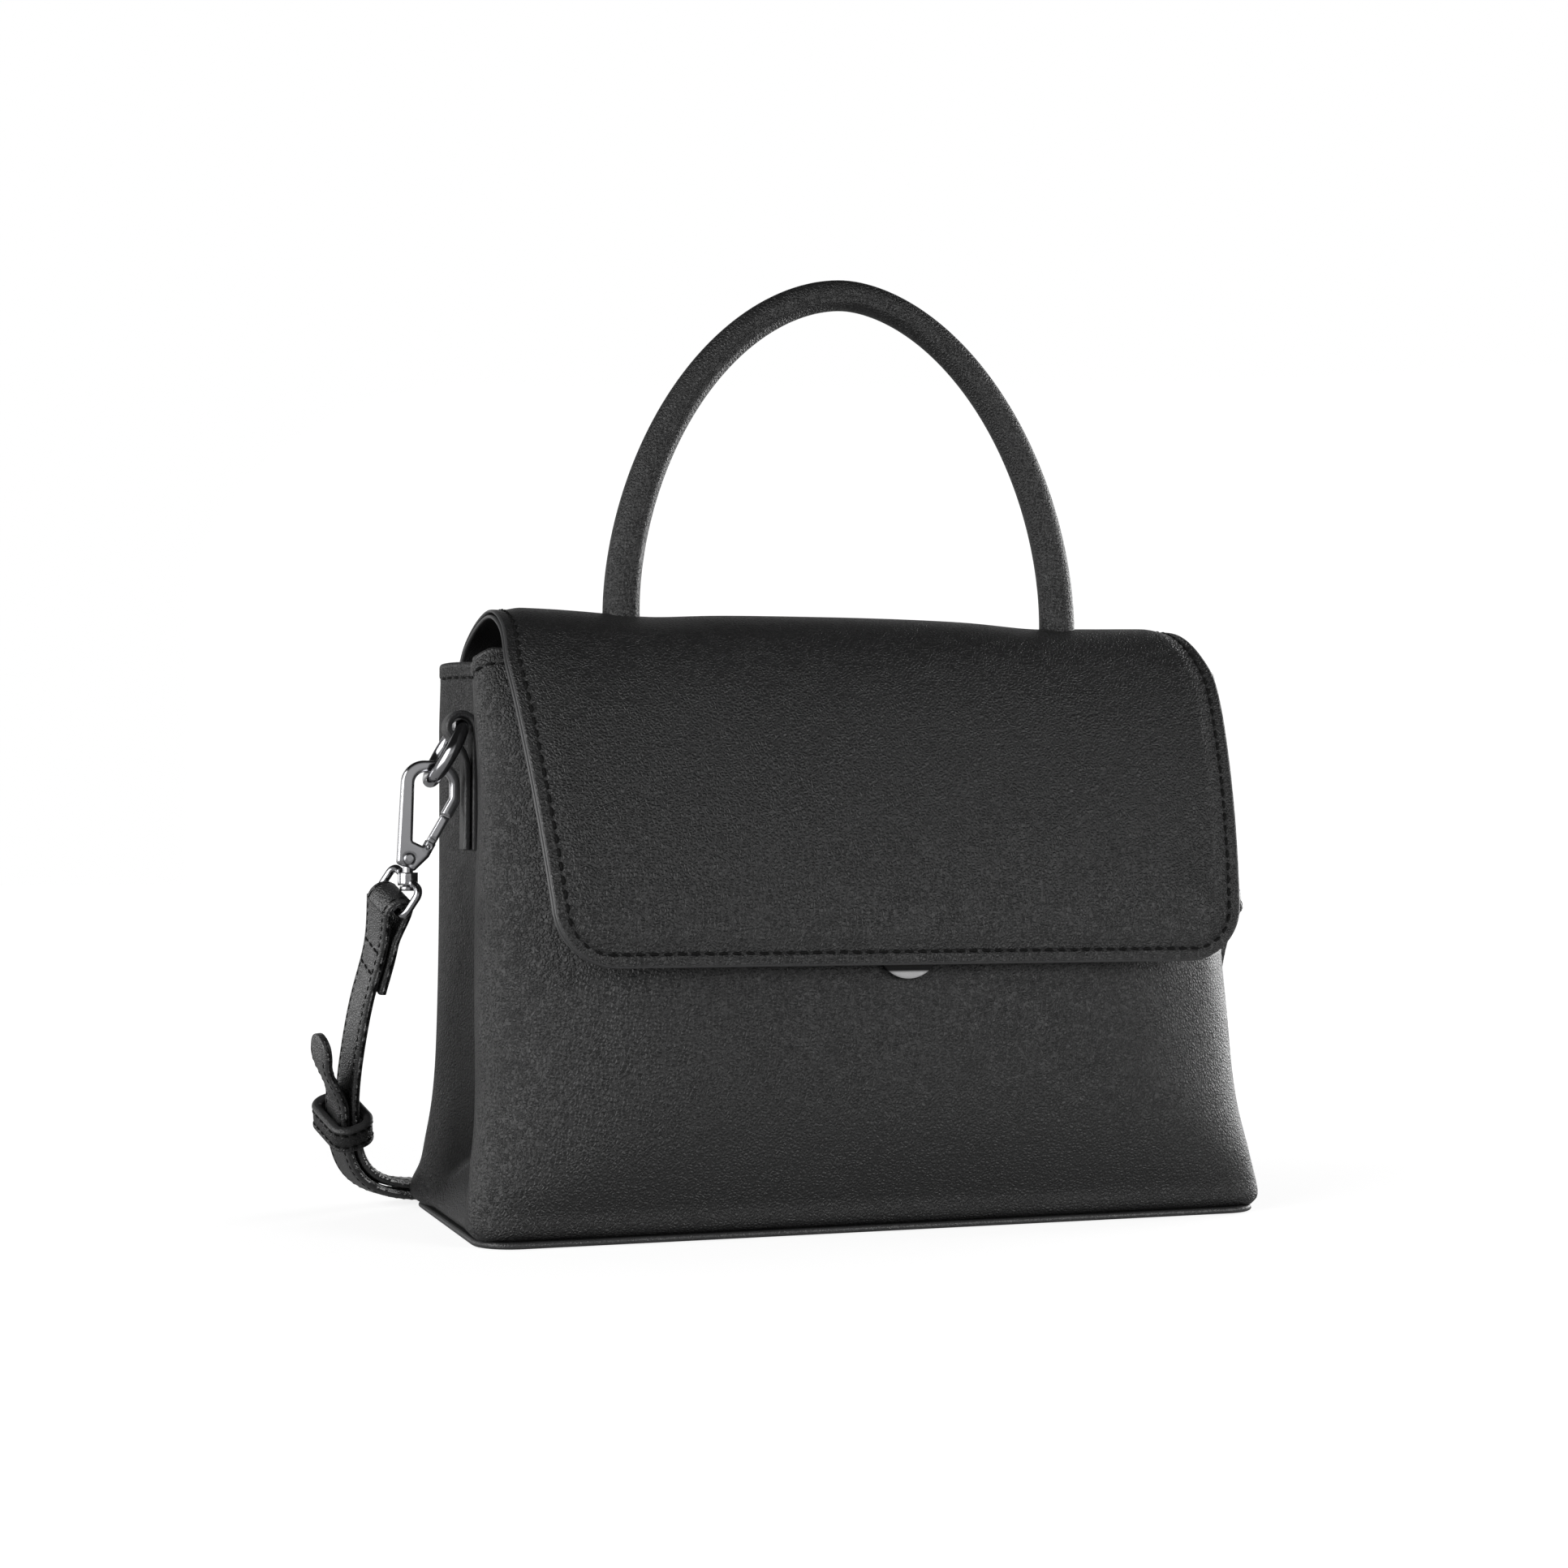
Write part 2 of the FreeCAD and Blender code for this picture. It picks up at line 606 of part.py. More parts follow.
def hook_solids(ring_seat):
    # Frame, gate, gate pin and swivel post; also the middle of the swivel's boss
    seat_x, seat_z = hook_ring_seat_shares
    origin = ring_seat - Vector(hook_width * seat_x, 0, hook_length * seat_z)
    frame = flat_outline(origin, hook_outline_shares, hook_width, hook_length, hook_thick)
    frame = frame.cut(flat_outline(origin, hook_window_shares, hook_width, hook_length, hook_thick))
    rim = [e for e in frame.Edges if e.BoundBox.YLength < hook_edge_round]
    frame = frame.makeFillet(hook_edge_round, rim)
    low = origin + Vector(hook_width * gate_low_shares[0], 0, hook_length * gate_low_shares[1])
    high = origin + Vector(hook_width * gate_high_shares[0], 0, hook_length * gate_high_shares[1])
    along = (high - low).normalize()
    pivot = low + along * gate_pivot_reach
    slot_thick = gate_tongue_thick + 2 * gate_gap
    clear = gate_tongue_radius + gate_gap
    mouth_from, mouth_to = gate_pivot_reach + clear, gate_reach + gate_gap
    mouth = slanted_bar(low, along, mouth_from, mouth_to, 2 * gate_width, hook_thick + over)
    slot = axis_cylinder(pivot, Y_AXIS, clear, slot_thick)
    slot = slot.fuse(slanted_bar(low, along, gate_pivot_reach, gate_tongue_reach, 2 * clear, slot_thick))
    pin = axis_cylinder(pivot, Y_AXIS, gate_pin_radius, hook_thick)
    gate = slanted_bar(low, along, gate_tongue_reach, gate_reach, gate_width, gate_thick)
    long_edges = [e for e in gate.Edges if e.Length > gate_reach - gate_tongue_reach - touching]
    gate = gate.makeFillet(gate_edge_round, long_edges)
    tongue_width = 2 * gate_tongue_radius
    tongue = slanted_bar(low, along, gate_pivot_reach, gate_tongue_reach, tongue_width, gate_tongue_thick)
    gate = gate.fuse(tongue).fuse(axis_cylinder(pivot, Y_AXIS, gate_tongue_radius, gate_tongue_thick))
    gate = gate.cut(axis_cylinder(pivot, Y_AXIS, gate_pin_radius + pin_gap, hook_thick)).removeSplitter()
    rivet_place = origin + Vector(hook_width * rivet_shares[0], 0, hook_length * rivet_shares[1])
    rivet = axis_cylinder(rivet_place, Y_AXIS, rivet_radius, hook_thick + 2 * rivet_stand)
    plate_low = hook_length * hook_outline_shares[-1][1]
    axis_foot = origin + Vector(hook_width * post_offset_share, 0, plate_low)
    neck = 2 * post_gap + boss_height
    rise = rivet_place.z - axis_foot.z
    post = Part.makeCylinder(post_radius, neck + rise, axis_foot - Z_AXIS * neck, Z_AXIS)
    head = Part.makeCylinder(post_head_radius, post_head_thick, axis_foot - Z_AXIS * neck, -Z_AXIS)
    post = post.fuse(rivet).fuse(head)
    frame = frame.cut(mouth).cut(slot).cut(pin).cut(post)
    boss_middle = axis_foot - Z_AXIS * (post_gap + boss_height / 2)
    return {"hook": frame, "gate": gate, "gate_pin": pin, "swivel_post": post}, boss_middle


def strap_frame(along):
    # Across the strap and through it, where it runs in a direction: it stays near its turn at the eye
    turn = Vector(*strap_turn).normalize()
    across = (turn - along * turn.dot(along)).normalize()
    return across, along.cross(across)


strap_hole_radius = eye_wire_radius + strap_hole_gap
layer_step = strap_thick + strap_layer_gap
lower_layer = strap_thick / 2
upper_layer = lower_layer + layer_step


def strap_start(bar):
    x, y, z = strap_route_shares[0]
    fall = bar.z - upper_layer
    return Vector(-strap_swing * x, strap_back * y, -fall * z).normalize()


def strap_curve(bar, floor):
    # Middle line of the hanging strap, from beside the eye's bar to the floor behind the bag
    fall = bar.z - floor
    route = [bar + Vector(-strap_swing * x, strap_back * y, -fall * z) for x, y, z in strap_route_shares]
    across, through = strap_frame(strap_start(bar))
    first = bar - through * (strap_hole_radius + strap_thick / 2)
    curve = Part.BSplineCurve()
    curve.interpolate(Points=[first] + route)
    return curve


def strap_place(curve, share):
    # Point at a share of the strap's length, with the directions along, across and through it
    parameter = curve.parameterAtDistance(curve.length() * share, curve.FirstParameter)
    along = X_AXIS if share == 1 else curve.tangent(parameter)[0]
    across, through = strap_frame(along)
    return curve.value(parameter), along, across, through


def strap_section(middle, across, through, width):
    a, b = across * (width / 2), through * (strap_thick / 2)
    return Part.makePolygon([middle - a - b, middle + a - b, middle + a + b, middle - a + b, middle - a - b])


def smooth(share):
    share = max(0.0, min(1.0, share))
    return share * share * (3 - 2 * share)


STRAP_STATIONS = 14
TAB_STATIONS = 6


def hanging_strap(bar, floor):
    # Strap folded round the eye's bar, its sewn end behind it, and the run down to the floor
    curve = strap_curve(bar, floor)
    sections = []
    for i in range(STRAP_STATIONS + 1):
        middle, along, across, through = strap_place(curve, i / STRAP_STATIONS)
        sections.append(strap_section(middle, across, through, strap_width))
    run = Part.makeLoft(sections, True, False)
    bar_along = strap_place(curve, 0)[2]
    eye_side = axis_cylinder(bar, bar_along, strap_hole_radius + strap_thick, strap_width)
    tab_share = strap_back_tab / curve.length()
    sections = []
    for i in range(TAB_STATIONS + 1):
        middle, along, across, through = strap_place(curve, tab_share * i / TAB_STATIONS)
        open_step = 2 * strap_hole_radius + strap_thick
        step = open_step + (layer_step - open_step) * smooth(i / TAB_STATIONS / strap_lap_share)
        sections.append(strap_section(middle + through * step, across, through, strap_width))
    lap = Part.makeLoft(sections, True, False)
    hole = axis_cylinder(bar, bar_along, strap_hole_radius, 2 * strap_width)
    return run.fuse(eye_side).fuse(lap).cut(hole), curve


def eye_solid(boss_middle):
    # Boss round the swivel post and the oval wire loop that carries the strap; also the middle of its bar
    lean = Vector(*eye_lean).normalize()
    bar = boss_middle - lean * eye_height
    across = strap_place(strap_curve(bar, upper_layer), 0)[2]
    rise = (boss_middle - bar) - across * across.dot(boss_middle - bar)
    a = across * (eye_span / 2)
    corners = [(p, eye_corner) for p in (bar - a, bar + a, bar + a + rise, bar - a + rise)]
    loop = wire_loop(corners, eye_wire_radius)
    boss = axis_cylinder(boss_middle, Z_AXIS, boss_radius, boss_height)
    bore = axis_cylinder(boss_middle, Z_AXIS, post_radius + pin_gap, eye_height)
    top, foot = boss_middle + Z_AXIS * boss_height / 2, boss_middle - Z_AXIS * boss_height / 2
    head_room = Part.makeCylinder(post_head_radius + post_gap, eye_height, foot, -Z_AXIS)
    plate_room = Part.makeCylinder(swivel_room, eye_height, top, Z_AXIS)
    return loop.fuse(boss).cut(bore).cut(head_room).cut(plate_room), bar


def wire_loop(corners, radius):
    path = rounded_wire(corners)
    edge = path.Edges[0]
    first = edge.FirstParameter
    ring = Part.Circle(edge.valueAt(first), edge.tangentAt(first), radius).toShape()
    return path.makePipeShell([Part.Wire([ring])], True, False)


def flat_band(points, lane):
    # Strap lying in one upright plane: straight runs and tangent arcs, (x, z, radius) points
    half = strap_thick / 2
    count = len(points)
    at = [Vector(x, lane - strap_width / 2, z) for x, z, r in points]
    sides = []
    for sign in (1, -1):
        corners = []
        for i in range(count):
            before = at[i] - at[i - 1] if i > 0 else at[1] - at[0]
            after = at[i + 1] - at[i] if i < count - 1 else before
            n_before = before.normalize().cross(Y_AXIS)
            n_after = after.normalize().cross(Y_AXIS)
            shift = (n_before + n_after) * (half * sign / (1 + n_before.dot(n_after)))
            turn = before.cross(after).dot(Y_AXIS)
            corners.append((at[i] + shift, points[i][2] + half * sign * math.copysign(1, turn)))
        edges = []
        last = corners[0][0]
        for i in range(1, count - 1):
            point, radius = corners[i]
            start, middle, end = corner_arc(corners[i - 1][0], point, corners[i + 1][0], radius)
            if (start - last).Length > touching:
                edges.append(Part.LineSegment(last, start).toShape())
            edges.append(Part.Arc(start, middle, end).toShape())
            last = end
        edges.append(Part.LineSegment(last, corners[-1][0]).toShape())
        sides.append((edges, corners[0][0], corners[-1][0]))
    (upper, upper_start, upper_end), (under, under_start, under_end) = sides
    caps = []
    for a, b in ((upper_end, under_end), (under_start, upper_start)):
        caps.append(Part.LineSegment(a, b).toShape())
    outline = Part.Wire(Part.__sortEdges__(upper + under + caps))
    return Part.Face(outline).extrude(Y_AXIS * strap_width)


def folded_points(end_reach):
    # Folds behind the bag from the right corner to the left one: two turns, then down through the buckle
    second, third = upper_layer, upper_layer + layer_step
    bend = fold_turn_height / 2
    left_top = lower_layer + fold_turn_height
    right_top = second + fold_turn_height
    crossing = left_top + layer_step
    left_step = -fold_left_reach + fold_shoulder
    right_step = fold_right_reach - fold_shoulder
    entry = -buckle_heel_place + buckle_length + tongue_entry
    leave = -buckle_heel_place + tongue_exit
    return [
        (end_reach, lower_layer, 0),
        (-fold_left_reach, lower_layer, bend), (-fold_left_reach, left_top, bend),
        (left_step, left_top, fold_ease), (left_step + fold_ramp, second, fold_ease),
        (fold_right_reach, second, bend), (fold_right_reach, right_top, bend),
        (right_step, right_top, fold_ease), (right_step - fold_ramp, third, fold_ease),
        (left_step + fold_ramp, third, fold_ease), (left_step, crossing, fold_ease),
        (-fold_left_reach - fold_entry, crossing, fold_ease),
        (entry, buckle_height + tongue_lift, tongue_ease), (leave, lower_layer, tongue_ease),
        (-end_reach, lower_layer, 0),
    ]


def strap_tail(curve):
    # Free end of the long part: runs back up outside the short part, through the keeper, to its round tip
    sections = []
    count = STRAP_STATIONS
    flare_from = keeper_place_share - keeper_length / curve.length()
    for i in range(count + 1):
        share = 1 + (tip_place_share - 1) * i / count
        middle, along, across, through = strap_place(curve, share)
        flare = tip_flare * smooth((flare_from - share) / (flare_from - tip_place_share))
        sections.append(strap_section(middle - through * (layer_step + flare), across, through, strap_width))
    run = Part.makeLoft(sections, True, False)
    middle, along, across, through = strap_place(curve, tip_place_share)
    middle = middle - through * (layer_step + tip_flare)
    sections = []
    for reach, width in tip_round_shares:
        place = middle - along * (reach * strap_width / 2)
        sections.append(strap_section(place, across, through, strap_width * width))
    return run.fuse(Part.makeLoft(sections, True, True))


def buckle_solids(lane):
    heel = Vector(-buckle_heel_place, lane, buckle_height)
    front = heel + X_AXIS * buckle_length
    a = Y_AXIS * (strap_width / 2 + buckle_side_gap + buckle_wire_radius)
    corners = [(p, buckle_corner) for p in (heel - a, front - a, front + a, heel + a)]
    frame = wire_loop(corners, buckle_wire_radius)
    eye_radius = buckle_wire_radius + prong_gap
    drop = buckle_wire_radius + prong_gap + prong_thick / 2
    tip = front + Vector(buckle_wire_radius, 0, -drop - prong_gap)
    along = (tip - heel).normalize()
    corner = Vector(0, -prong_width / 2, -prong_thick / 2)
    bar = Part.makeBox((tip - heel).Length, prong_width, prong_thick, corner)
    prong = framed(bar, heel, along, Y_AXIS, along.cross(Y_AXIS))
    prong = prong.fuse(axis_cylinder(heel, Y_AXIS, eye_radius + prong_eye_wall, prong_width))
    prong = prong.cut(axis_cylinder(heel, Y_AXIS, eye_radius, 2 * prong_width))
    return heel, frame, prong


def chape(end, heel):
    # Thinned end of the short part, wrapped round the buckle's heel bar
    inner = buckle_wire_radius + chape_gap
    outer = inner + chape_thick
    low, high = end - Z_AXIS * strap_thick / 2, end + Z_AXIS * strap_thick / 2
    wrap_low, wrap_high = heel - Z_AXIS * outer, heel + Z_AXIS * outer
    start = -Y_AXIS * strap_width / 2
    outline = Part.makePolygon([low + start, wrap_low + start, wrap_high + start, high + start, low + start])
    body = Part.Face(outline).extrude(Y_AXIS * strap_width)
    body = body.fuse(axis_cylinder(heel, Y_AXIS, outer, strap_width))
    slot = centred_box(heel, 2 * (outer + over), prong_width + 2 * prong_slot_gap, 2 * (outer + over))
    return body.cut(axis_cylinder(heel, Y_AXIS, inner, 2 * strap_width)).cut(slot)


def keeper_solid(curve):
    middle, along, across, through = strap_place(curve, keeper_place_share)
    middle = middle - through * (layer_step / 2)
    inner_across = strap_width + 2 * keeper_gap
    inner_through = strap_thick + layer_step + 2 * keeper_gap
    sleeves = []
    for grow in (keeper_wall, 0):
        a, b = across * (inner_across / 2 + grow), through * (inner_through / 2 + grow)
        start = middle - along * (keeper_length / 2)
        corner = keeper_gap + grow
        corners = [(p, corner) for p in (start - a - b, start + a - b, start + a + b, start - a + b)]
        sleeves.append(Part.Face(rounded_wire(corners)).extrude(along * keeper_length))
    return sleeves[0].cut(sleeves[1]), middle, along


def build_sides(gusset):
    tab, loop = tab_solid(gusset)
    ring, ring_seat = ring_solid(loop)
    pieces, boss_middle = hook_solids(ring_seat)
    eye, bar = eye_solid(boss_middle)
    pieces.update({"tab": tab, "ring": ring, "swivel_eye": eye})
    for name, solid in pieces.items():
        export(name + "_left", solid)
        export(name + "_right", mirrored(solid))
    print("tab loop", loop, "ring seat", ring_seat, "swivel", boss_middle, "bar", bar)
    return bar


def build_strap(bar):
    short, curve = hanging_strap(bar, upper_layer)
    far, far_curve = hanging_strap(bar, lower_layer)
    end = curve.value(curve.LastParameter)
    heel, frame, prong = buckle_solids(end.y)
    slot_middle = heel + X_AXIS * buckle_length / 2
    prong_slot = centred_box(slot_middle, buckle_length, prong_width + 2 * prong_slot_gap, 2 * buckle_height)
    folded = flat_band(folded_points(-end.x), end.y).cut(prong_slot)
    long = mirrored(far).fuse(folded).fuse(strap_tail(curve))
    keeper, keeper_middle, keeper_along = keeper_solid(curve)
    export("strap_short", short.fuse(chape(end, heel)))
    export("strap_long", long)
    export("strap_keeper", keeper)
    export("buckle_frame", frame)
    export("buckle_prong", prong)
    print("keeper", keeper_middle, keeper_along)
    print("strap length", curve.length() + far_curve.length())


os.makedirs("parts", exist_ok=True)
build_base()
body_solids = build_body()
build_seam_strip()
build_flap()
build_lock(body_solids["front"])
build_handle()
eye_bar = build_sides(body_solids["left"])
build_strap(eye_bar)
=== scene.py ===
import bpy
import numpy as np
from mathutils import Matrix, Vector


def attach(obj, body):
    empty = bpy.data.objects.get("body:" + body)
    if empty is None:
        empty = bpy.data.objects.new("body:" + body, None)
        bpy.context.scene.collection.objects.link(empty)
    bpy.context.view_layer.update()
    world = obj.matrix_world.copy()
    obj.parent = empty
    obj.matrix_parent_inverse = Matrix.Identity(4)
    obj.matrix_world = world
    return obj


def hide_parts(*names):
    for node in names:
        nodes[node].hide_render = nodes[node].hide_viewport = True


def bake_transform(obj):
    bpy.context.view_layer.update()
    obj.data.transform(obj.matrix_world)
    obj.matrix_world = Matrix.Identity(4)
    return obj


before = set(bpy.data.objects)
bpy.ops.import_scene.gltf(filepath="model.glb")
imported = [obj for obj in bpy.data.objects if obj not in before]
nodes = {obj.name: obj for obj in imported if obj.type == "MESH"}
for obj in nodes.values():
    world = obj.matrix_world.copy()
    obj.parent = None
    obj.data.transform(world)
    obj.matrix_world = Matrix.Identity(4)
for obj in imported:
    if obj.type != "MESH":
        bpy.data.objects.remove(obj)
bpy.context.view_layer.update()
scene = bpy.context.scene
mm = 0.001  # shapes are worked out in millimetres, as the CAD is
print("frame loaded:", len(nodes), "nodes")


def splineThrough(knots, values, at):
    # natural cubic spline: one linear solve gives the bend at each knot
    k = np.asarray(knots, float)
    v = np.asarray(values, float).reshape(len(k), -1)
    h = np.diff(k)
    slope = np.diff(v, axis=0) / h[:, None]
    solve = np.eye(len(k))
    right = np.zeros_like(v)
    i = np.arange(1, len(k) - 1)
    solve[i, i - 1], solve[i, i], solve[i, i + 1] = h[:-1], 2 * (h[:-1] + h[1:]), h[1:]
    right[1:-1] = 6 * np.diff(slope, axis=0)
    bend = np.linalg.solve(solve, right)
    at = np.clip(np.asarray(at, float), k[0], k[-1])
    s = np.clip(np.searchsorted(k, at, side="right") - 1, 0, len(k) - 2)
    w = h[s]
    q = ((at - k[s]) / w)[:, None]
    p = 1 - q
    lift = (p ** 3 - p) * bend[s] + (q ** 3 - q) * bend[s + 1]
    return p * v[s] + q * v[s + 1] + lift * (w ** 2)[:, None] / 6


def pathLength(points):
    # running sum of the steps between points
    return np.concatenate([[0.0], np.cumsum(np.linalg.norm(np.diff(points, axis=0), axis=1))])


def alongPath(points, values, shares):
    # values (any columns) read off at shares of a path's length
    length = pathLength(points)
    values = np.asarray(values, float)
    at = np.asarray(shares) * length[-1]
    return np.stack([np.interp(at, length, values[:, c]) for c in range(values.shape[1])], 1)


def unit(v):
    return v / np.maximum(np.linalg.norm(v, axis=-1, keepdims=True), 1e-12)


def smooth(t):
    # from 0 to 1 with level ends: three squares less two cubes
    t = np.clip(t, 0, 1)
    return t * t * (3 - 2 * t)


def bell(t):
    # 1 in the middle, fading as e to the minus square
    return np.exp(-t ** 2)


def dense(count, ends):
    # shares from 0 to 1 that crowd towards both ends
    u = np.linspace(0, 1, count)
    return u - ends * np.sin(2 * np.pi * u) / (2 * np.pi)


def tubeFaces(around, along, ring=False):
    # quads of a tube stored [around, along]; open ends are closed by pairing point a with its opposite
    r, c = np.arange(around), np.arange(along if ring else along - 1)
    i, j = np.meshgrid(r, c, indexing="ij")
    i2, j2 = (i + 1) % around, (j + 1) % along
    quads = [np.stack([i * along + j, i * along + j2, i2 * along + j2, i2 * along + j], -1).reshape(-1, 4)]
    if not ring:
        a = np.arange(around // 2 - 1)
        b = around - 1 - a
        quads.append(np.stack([a, a + 1, b - 1, b], 1) * along)
        quads.append(np.stack([b, b - 1, a + 1, a], 1) * along + along - 1)
    return np.concatenate(quads)


def tube(shape, rim=0.0, ring=False):
    # one part of a piece: a grid of points [around, along], its faces, and the edge paint at each point
    return shape, tubeFaces(*shape.shape[:2], ring), rim


def addObject(name, data):
    made = bpy.data.objects.new(name, data)
    scene.collection.objects.link(made)
    return made


def addPiece(name, parts, material):
    # one mesh from the whole arrays of its parts, turned outwards by the sign of its volume
    points, faces, rims, start = [], [], [], 0
    for shape, quads, rim in parts:
        points.append(shape.reshape(-1, 3) * mm)
        faces.append(quads + start)
        rims.append(np.broadcast_to(np.ravel(rim), len(points[-1])))
        start += len(points[-1])
    p, f, rim = np.concatenate(points), np.concatenate(faces), np.concatenate(rims).astype(np.float32)
    a, b, c, d = (p[f[:, n]] for n in range(4))
    volume = np.einsum("ij,ij->i", a, np.cross(b, c) + np.cross(c, d)).sum()
    if volume < 0:
        f = f[:, ::-1]
    mesh = bpy.data.meshes.new(name)
    mesh.from_pydata(p, [], f.tolist())
    mesh.polygons.foreach_set("use_smooth", np.ones(len(f), bool))
    if rim.any():
        mesh.attributes.new("rim", "FLOAT", "POINT").data.foreach_set("value", rim)
    mesh.materials.append(material)
    mesh.update()
    piece = addObject(name, mesh)
    return piece


def flatFrame(points):
    # frame of a path that keeps to one depth: across is +Y, through is across x heading
    across = np.broadcast_to([0.0, 1.0, 0.0], points.shape)
    return across, np.cross(across, unit(np.gradient(points, axis=0)))


def sweep(points, across, through, section):
    # a flat section carried along a path: point + across * first + through * second
    s = np.asarray(section, float)
    return points[None] + s[:, 0, None, None] * across[None] + s[:, 1, None, None] * through[None]


def bandSection(width, thick, power, count, groove=0.0, grooveIn=2.1):
    # superellipse, left end over the top to the right end and back under, with a stitch groove near both edges
    crowd, grooveWide = 0.28, 0.55
    t = np.linspace(0, np.pi, count)
    t = t + crowd * np.sin(4 * t) / 4
    x = -np.copysign(np.abs(np.cos(t)) ** (2 / power), np.cos(t)) * width / 2
    z = np.abs(np.sin(t)) ** (2 / power) * thick / 2
    z = z - groove * bell((np.abs(x) - (width / 2 - grooveIn)) / grooveWide)
    upper = np.stack([x, z], 1)
    return np.concatenate([upper, upper[::-1] * [1, -1]])


def edgePaint(section, width, inset, soft, count):
    # 1 at both edges of a band's section and 0 from the inset on, the same at every station
    return np.repeat(smooth((np.abs(section[:, 0]) - (width / 2 - inset)) / soft)[:, None], count, 1)


thread = {"pitch": 4.2, "reach": 0.74, "thick": 0.78, "stand": 0.16, "dip": 0.34, "slant": 0.06}


def stitches(path, up, thread):
    # capsules along a line: rings shrink to both ends, the ends dip into the leather
    length = pathLength(path)[-1]
    count = max(1, int(round(length / thread["pitch"])))
    shares = (np.arange(count) + 0.5) / count
    centre = alongPath(path, path, shares)
    ahead = unit(alongPath(path, np.gradient(path, axis=0), shares))
    lift = alongPath(path, up, shares)
    lift = unit(lift - ahead * np.sum(lift * ahead, 1, keepdims=True))
    ahead = unit(ahead + np.cross(ahead, lift) * thread["slant"])
    side = np.cross(ahead, lift)
    t = np.array([-1.0, -0.86, -0.5, 0.0, 0.5, 0.86, 1.0])
    sides = 6
    turn = np.arange(sides) * 2 * np.pi / sides
    wide = thread["thick"] / 2 * np.sqrt(1.04 - t ** 4)
    x = np.cos(turn)[:, None] * wide
    y = np.broadcast_to(thread["reach"] * length / count / 2 * t, x.shape)
    z = np.sin(turn)[:, None] * wide + thread["stand"] - thread["dip"] * t ** 2
    shape = centre[:, None, None]
    for axis, reach in ((ahead, y), (side, x), (lift, z)):
        shape = shape + axis[:, None, None] * reach[None, ..., None]
    one = tubeFaces(sides, len(t))
    faces = (one[None] + (np.arange(count) * sides * len(t))[:, None, None]).reshape(-1, 4)
    return shape.reshape(-1, 3), faces, 0.0


def fill(tree, made, sockets):
    # a plain value is set on its socket, another node's output is linked to it
    for key, value in sockets.items():
        if isinstance(value, bpy.types.NodeSocket):
            tree.links.new(value, made.inputs[key])
        else:
            made.inputs[key].default_value = value


def node(tree, kind, sockets=None, output=0, **settings):
    made = tree.nodes.new(kind)
    for key, value in settings.items():
        setattr(made, key, value)
    fill(tree, made, sockets or {})
    return made.outputs[output]


def calc(tree, operation, *values):
    return node(tree, "ShaderNodeMath", dict(enumerate(values)), operation=operation)


def noise(tree, place, scale, detail=2.0, output="Fac"):
    return node(tree, "ShaderNodeTexNoise", {"Vector": place, "Scale": scale, "Detail": detail}, output)


def wave(tree, place, scale, distortion, direction):
    sockets = {"Vector": place, "Scale": scale, "Distortion": distortion}
    return node(tree, "ShaderNodeTexWave", sockets, "Fac", bands_direction=direction)


def ranged(tree, value, low, high, lowLevel=0.0, highLevel=1.0, kind="LINEAR"):
    sockets = {0: value, 1: low, 2: high, 3: lowLevel, 4: highLevel}
    return node(tree, "ShaderNodeMapRange", sockets, interpolation_type=kind)


def mixed(tree, share, low, high):
    return node(tree, "ShaderNodeMix", {0: share, 6: low, 7: high}, 2, data_type="RGBA")


def bumped(tree, height, strength, depth):
    return node(tree, "ShaderNodeBump", {"Strength": strength, "Distance": depth, "Height": height})


def rgba(tone, colour=(1, 1, 1)):
    return tuple(tone * c for c in colour) + (1,)


def newMaterial(name):
    made = bpy.data.materials.new(name)
    made.use_nodes = True
    tree = made.node_tree
    return made, tree, tree.nodes["Principled BSDF"], node(tree, "ShaderNodeTexCoord", output="Object")


leatherLook = {
    # the near-black groove tone is painted shade for sewn grooves and deep folds
    "tone": 0.0135, "lowShade": (0.72, 0.72, 0.73), "highShade": (1.4, 1.4, 1.43), "paintedShadeTone": 0.001,
    "rimTone": 0.045, "rimTint": (1, 1, 1.02), "rimRough": 0.40, "rimRelief": 0.08, "paintedShadeShare": -0.45,
    # cells and noises per metre, pull on the cells, width of a crease, depth of the relief
    "pebble": 860.0, "fine": 2600.0, "broad": 24.0, "patch": 130.0, "pull": (0.55, 0.9), "crease": 0.34,
    "depth": 0.00036,
    # shares of pebbles and fine grain in the relief, its least height and how far patches raise it
    "relief": (0.62, 0.50), "patchRelief": (0.55, 0.9), "shade": (0.35, 0.30), "wear": 0.14, "grooveRough": 0.4,
}
leatherKinds = {
    # shares of the tone and of the pebbles' number, strength of the relief, roughness, shine
    "pebbledHide": (1.0, 1.0, 1.0, 0.45, 0.5),
    "strapHide": (1.0, 1.25, 0.6, 0.42, 0.5),
    # painted sheen: the strap's copy of the hide, its tone raised by half and its shine full
    "strapPaintedSheen": (1.5, 1.25, 0.6, 0.42, 1.0),
    # painted shade: the sides' copy of the hide, its shine lowered so they read darker
    "sideShadedHide": (1.0, 1.0, 1.0, 0.45, 0.30),
    "innerHide": (0.7, 1.3, 0.35, 0.45, 0.5),
}


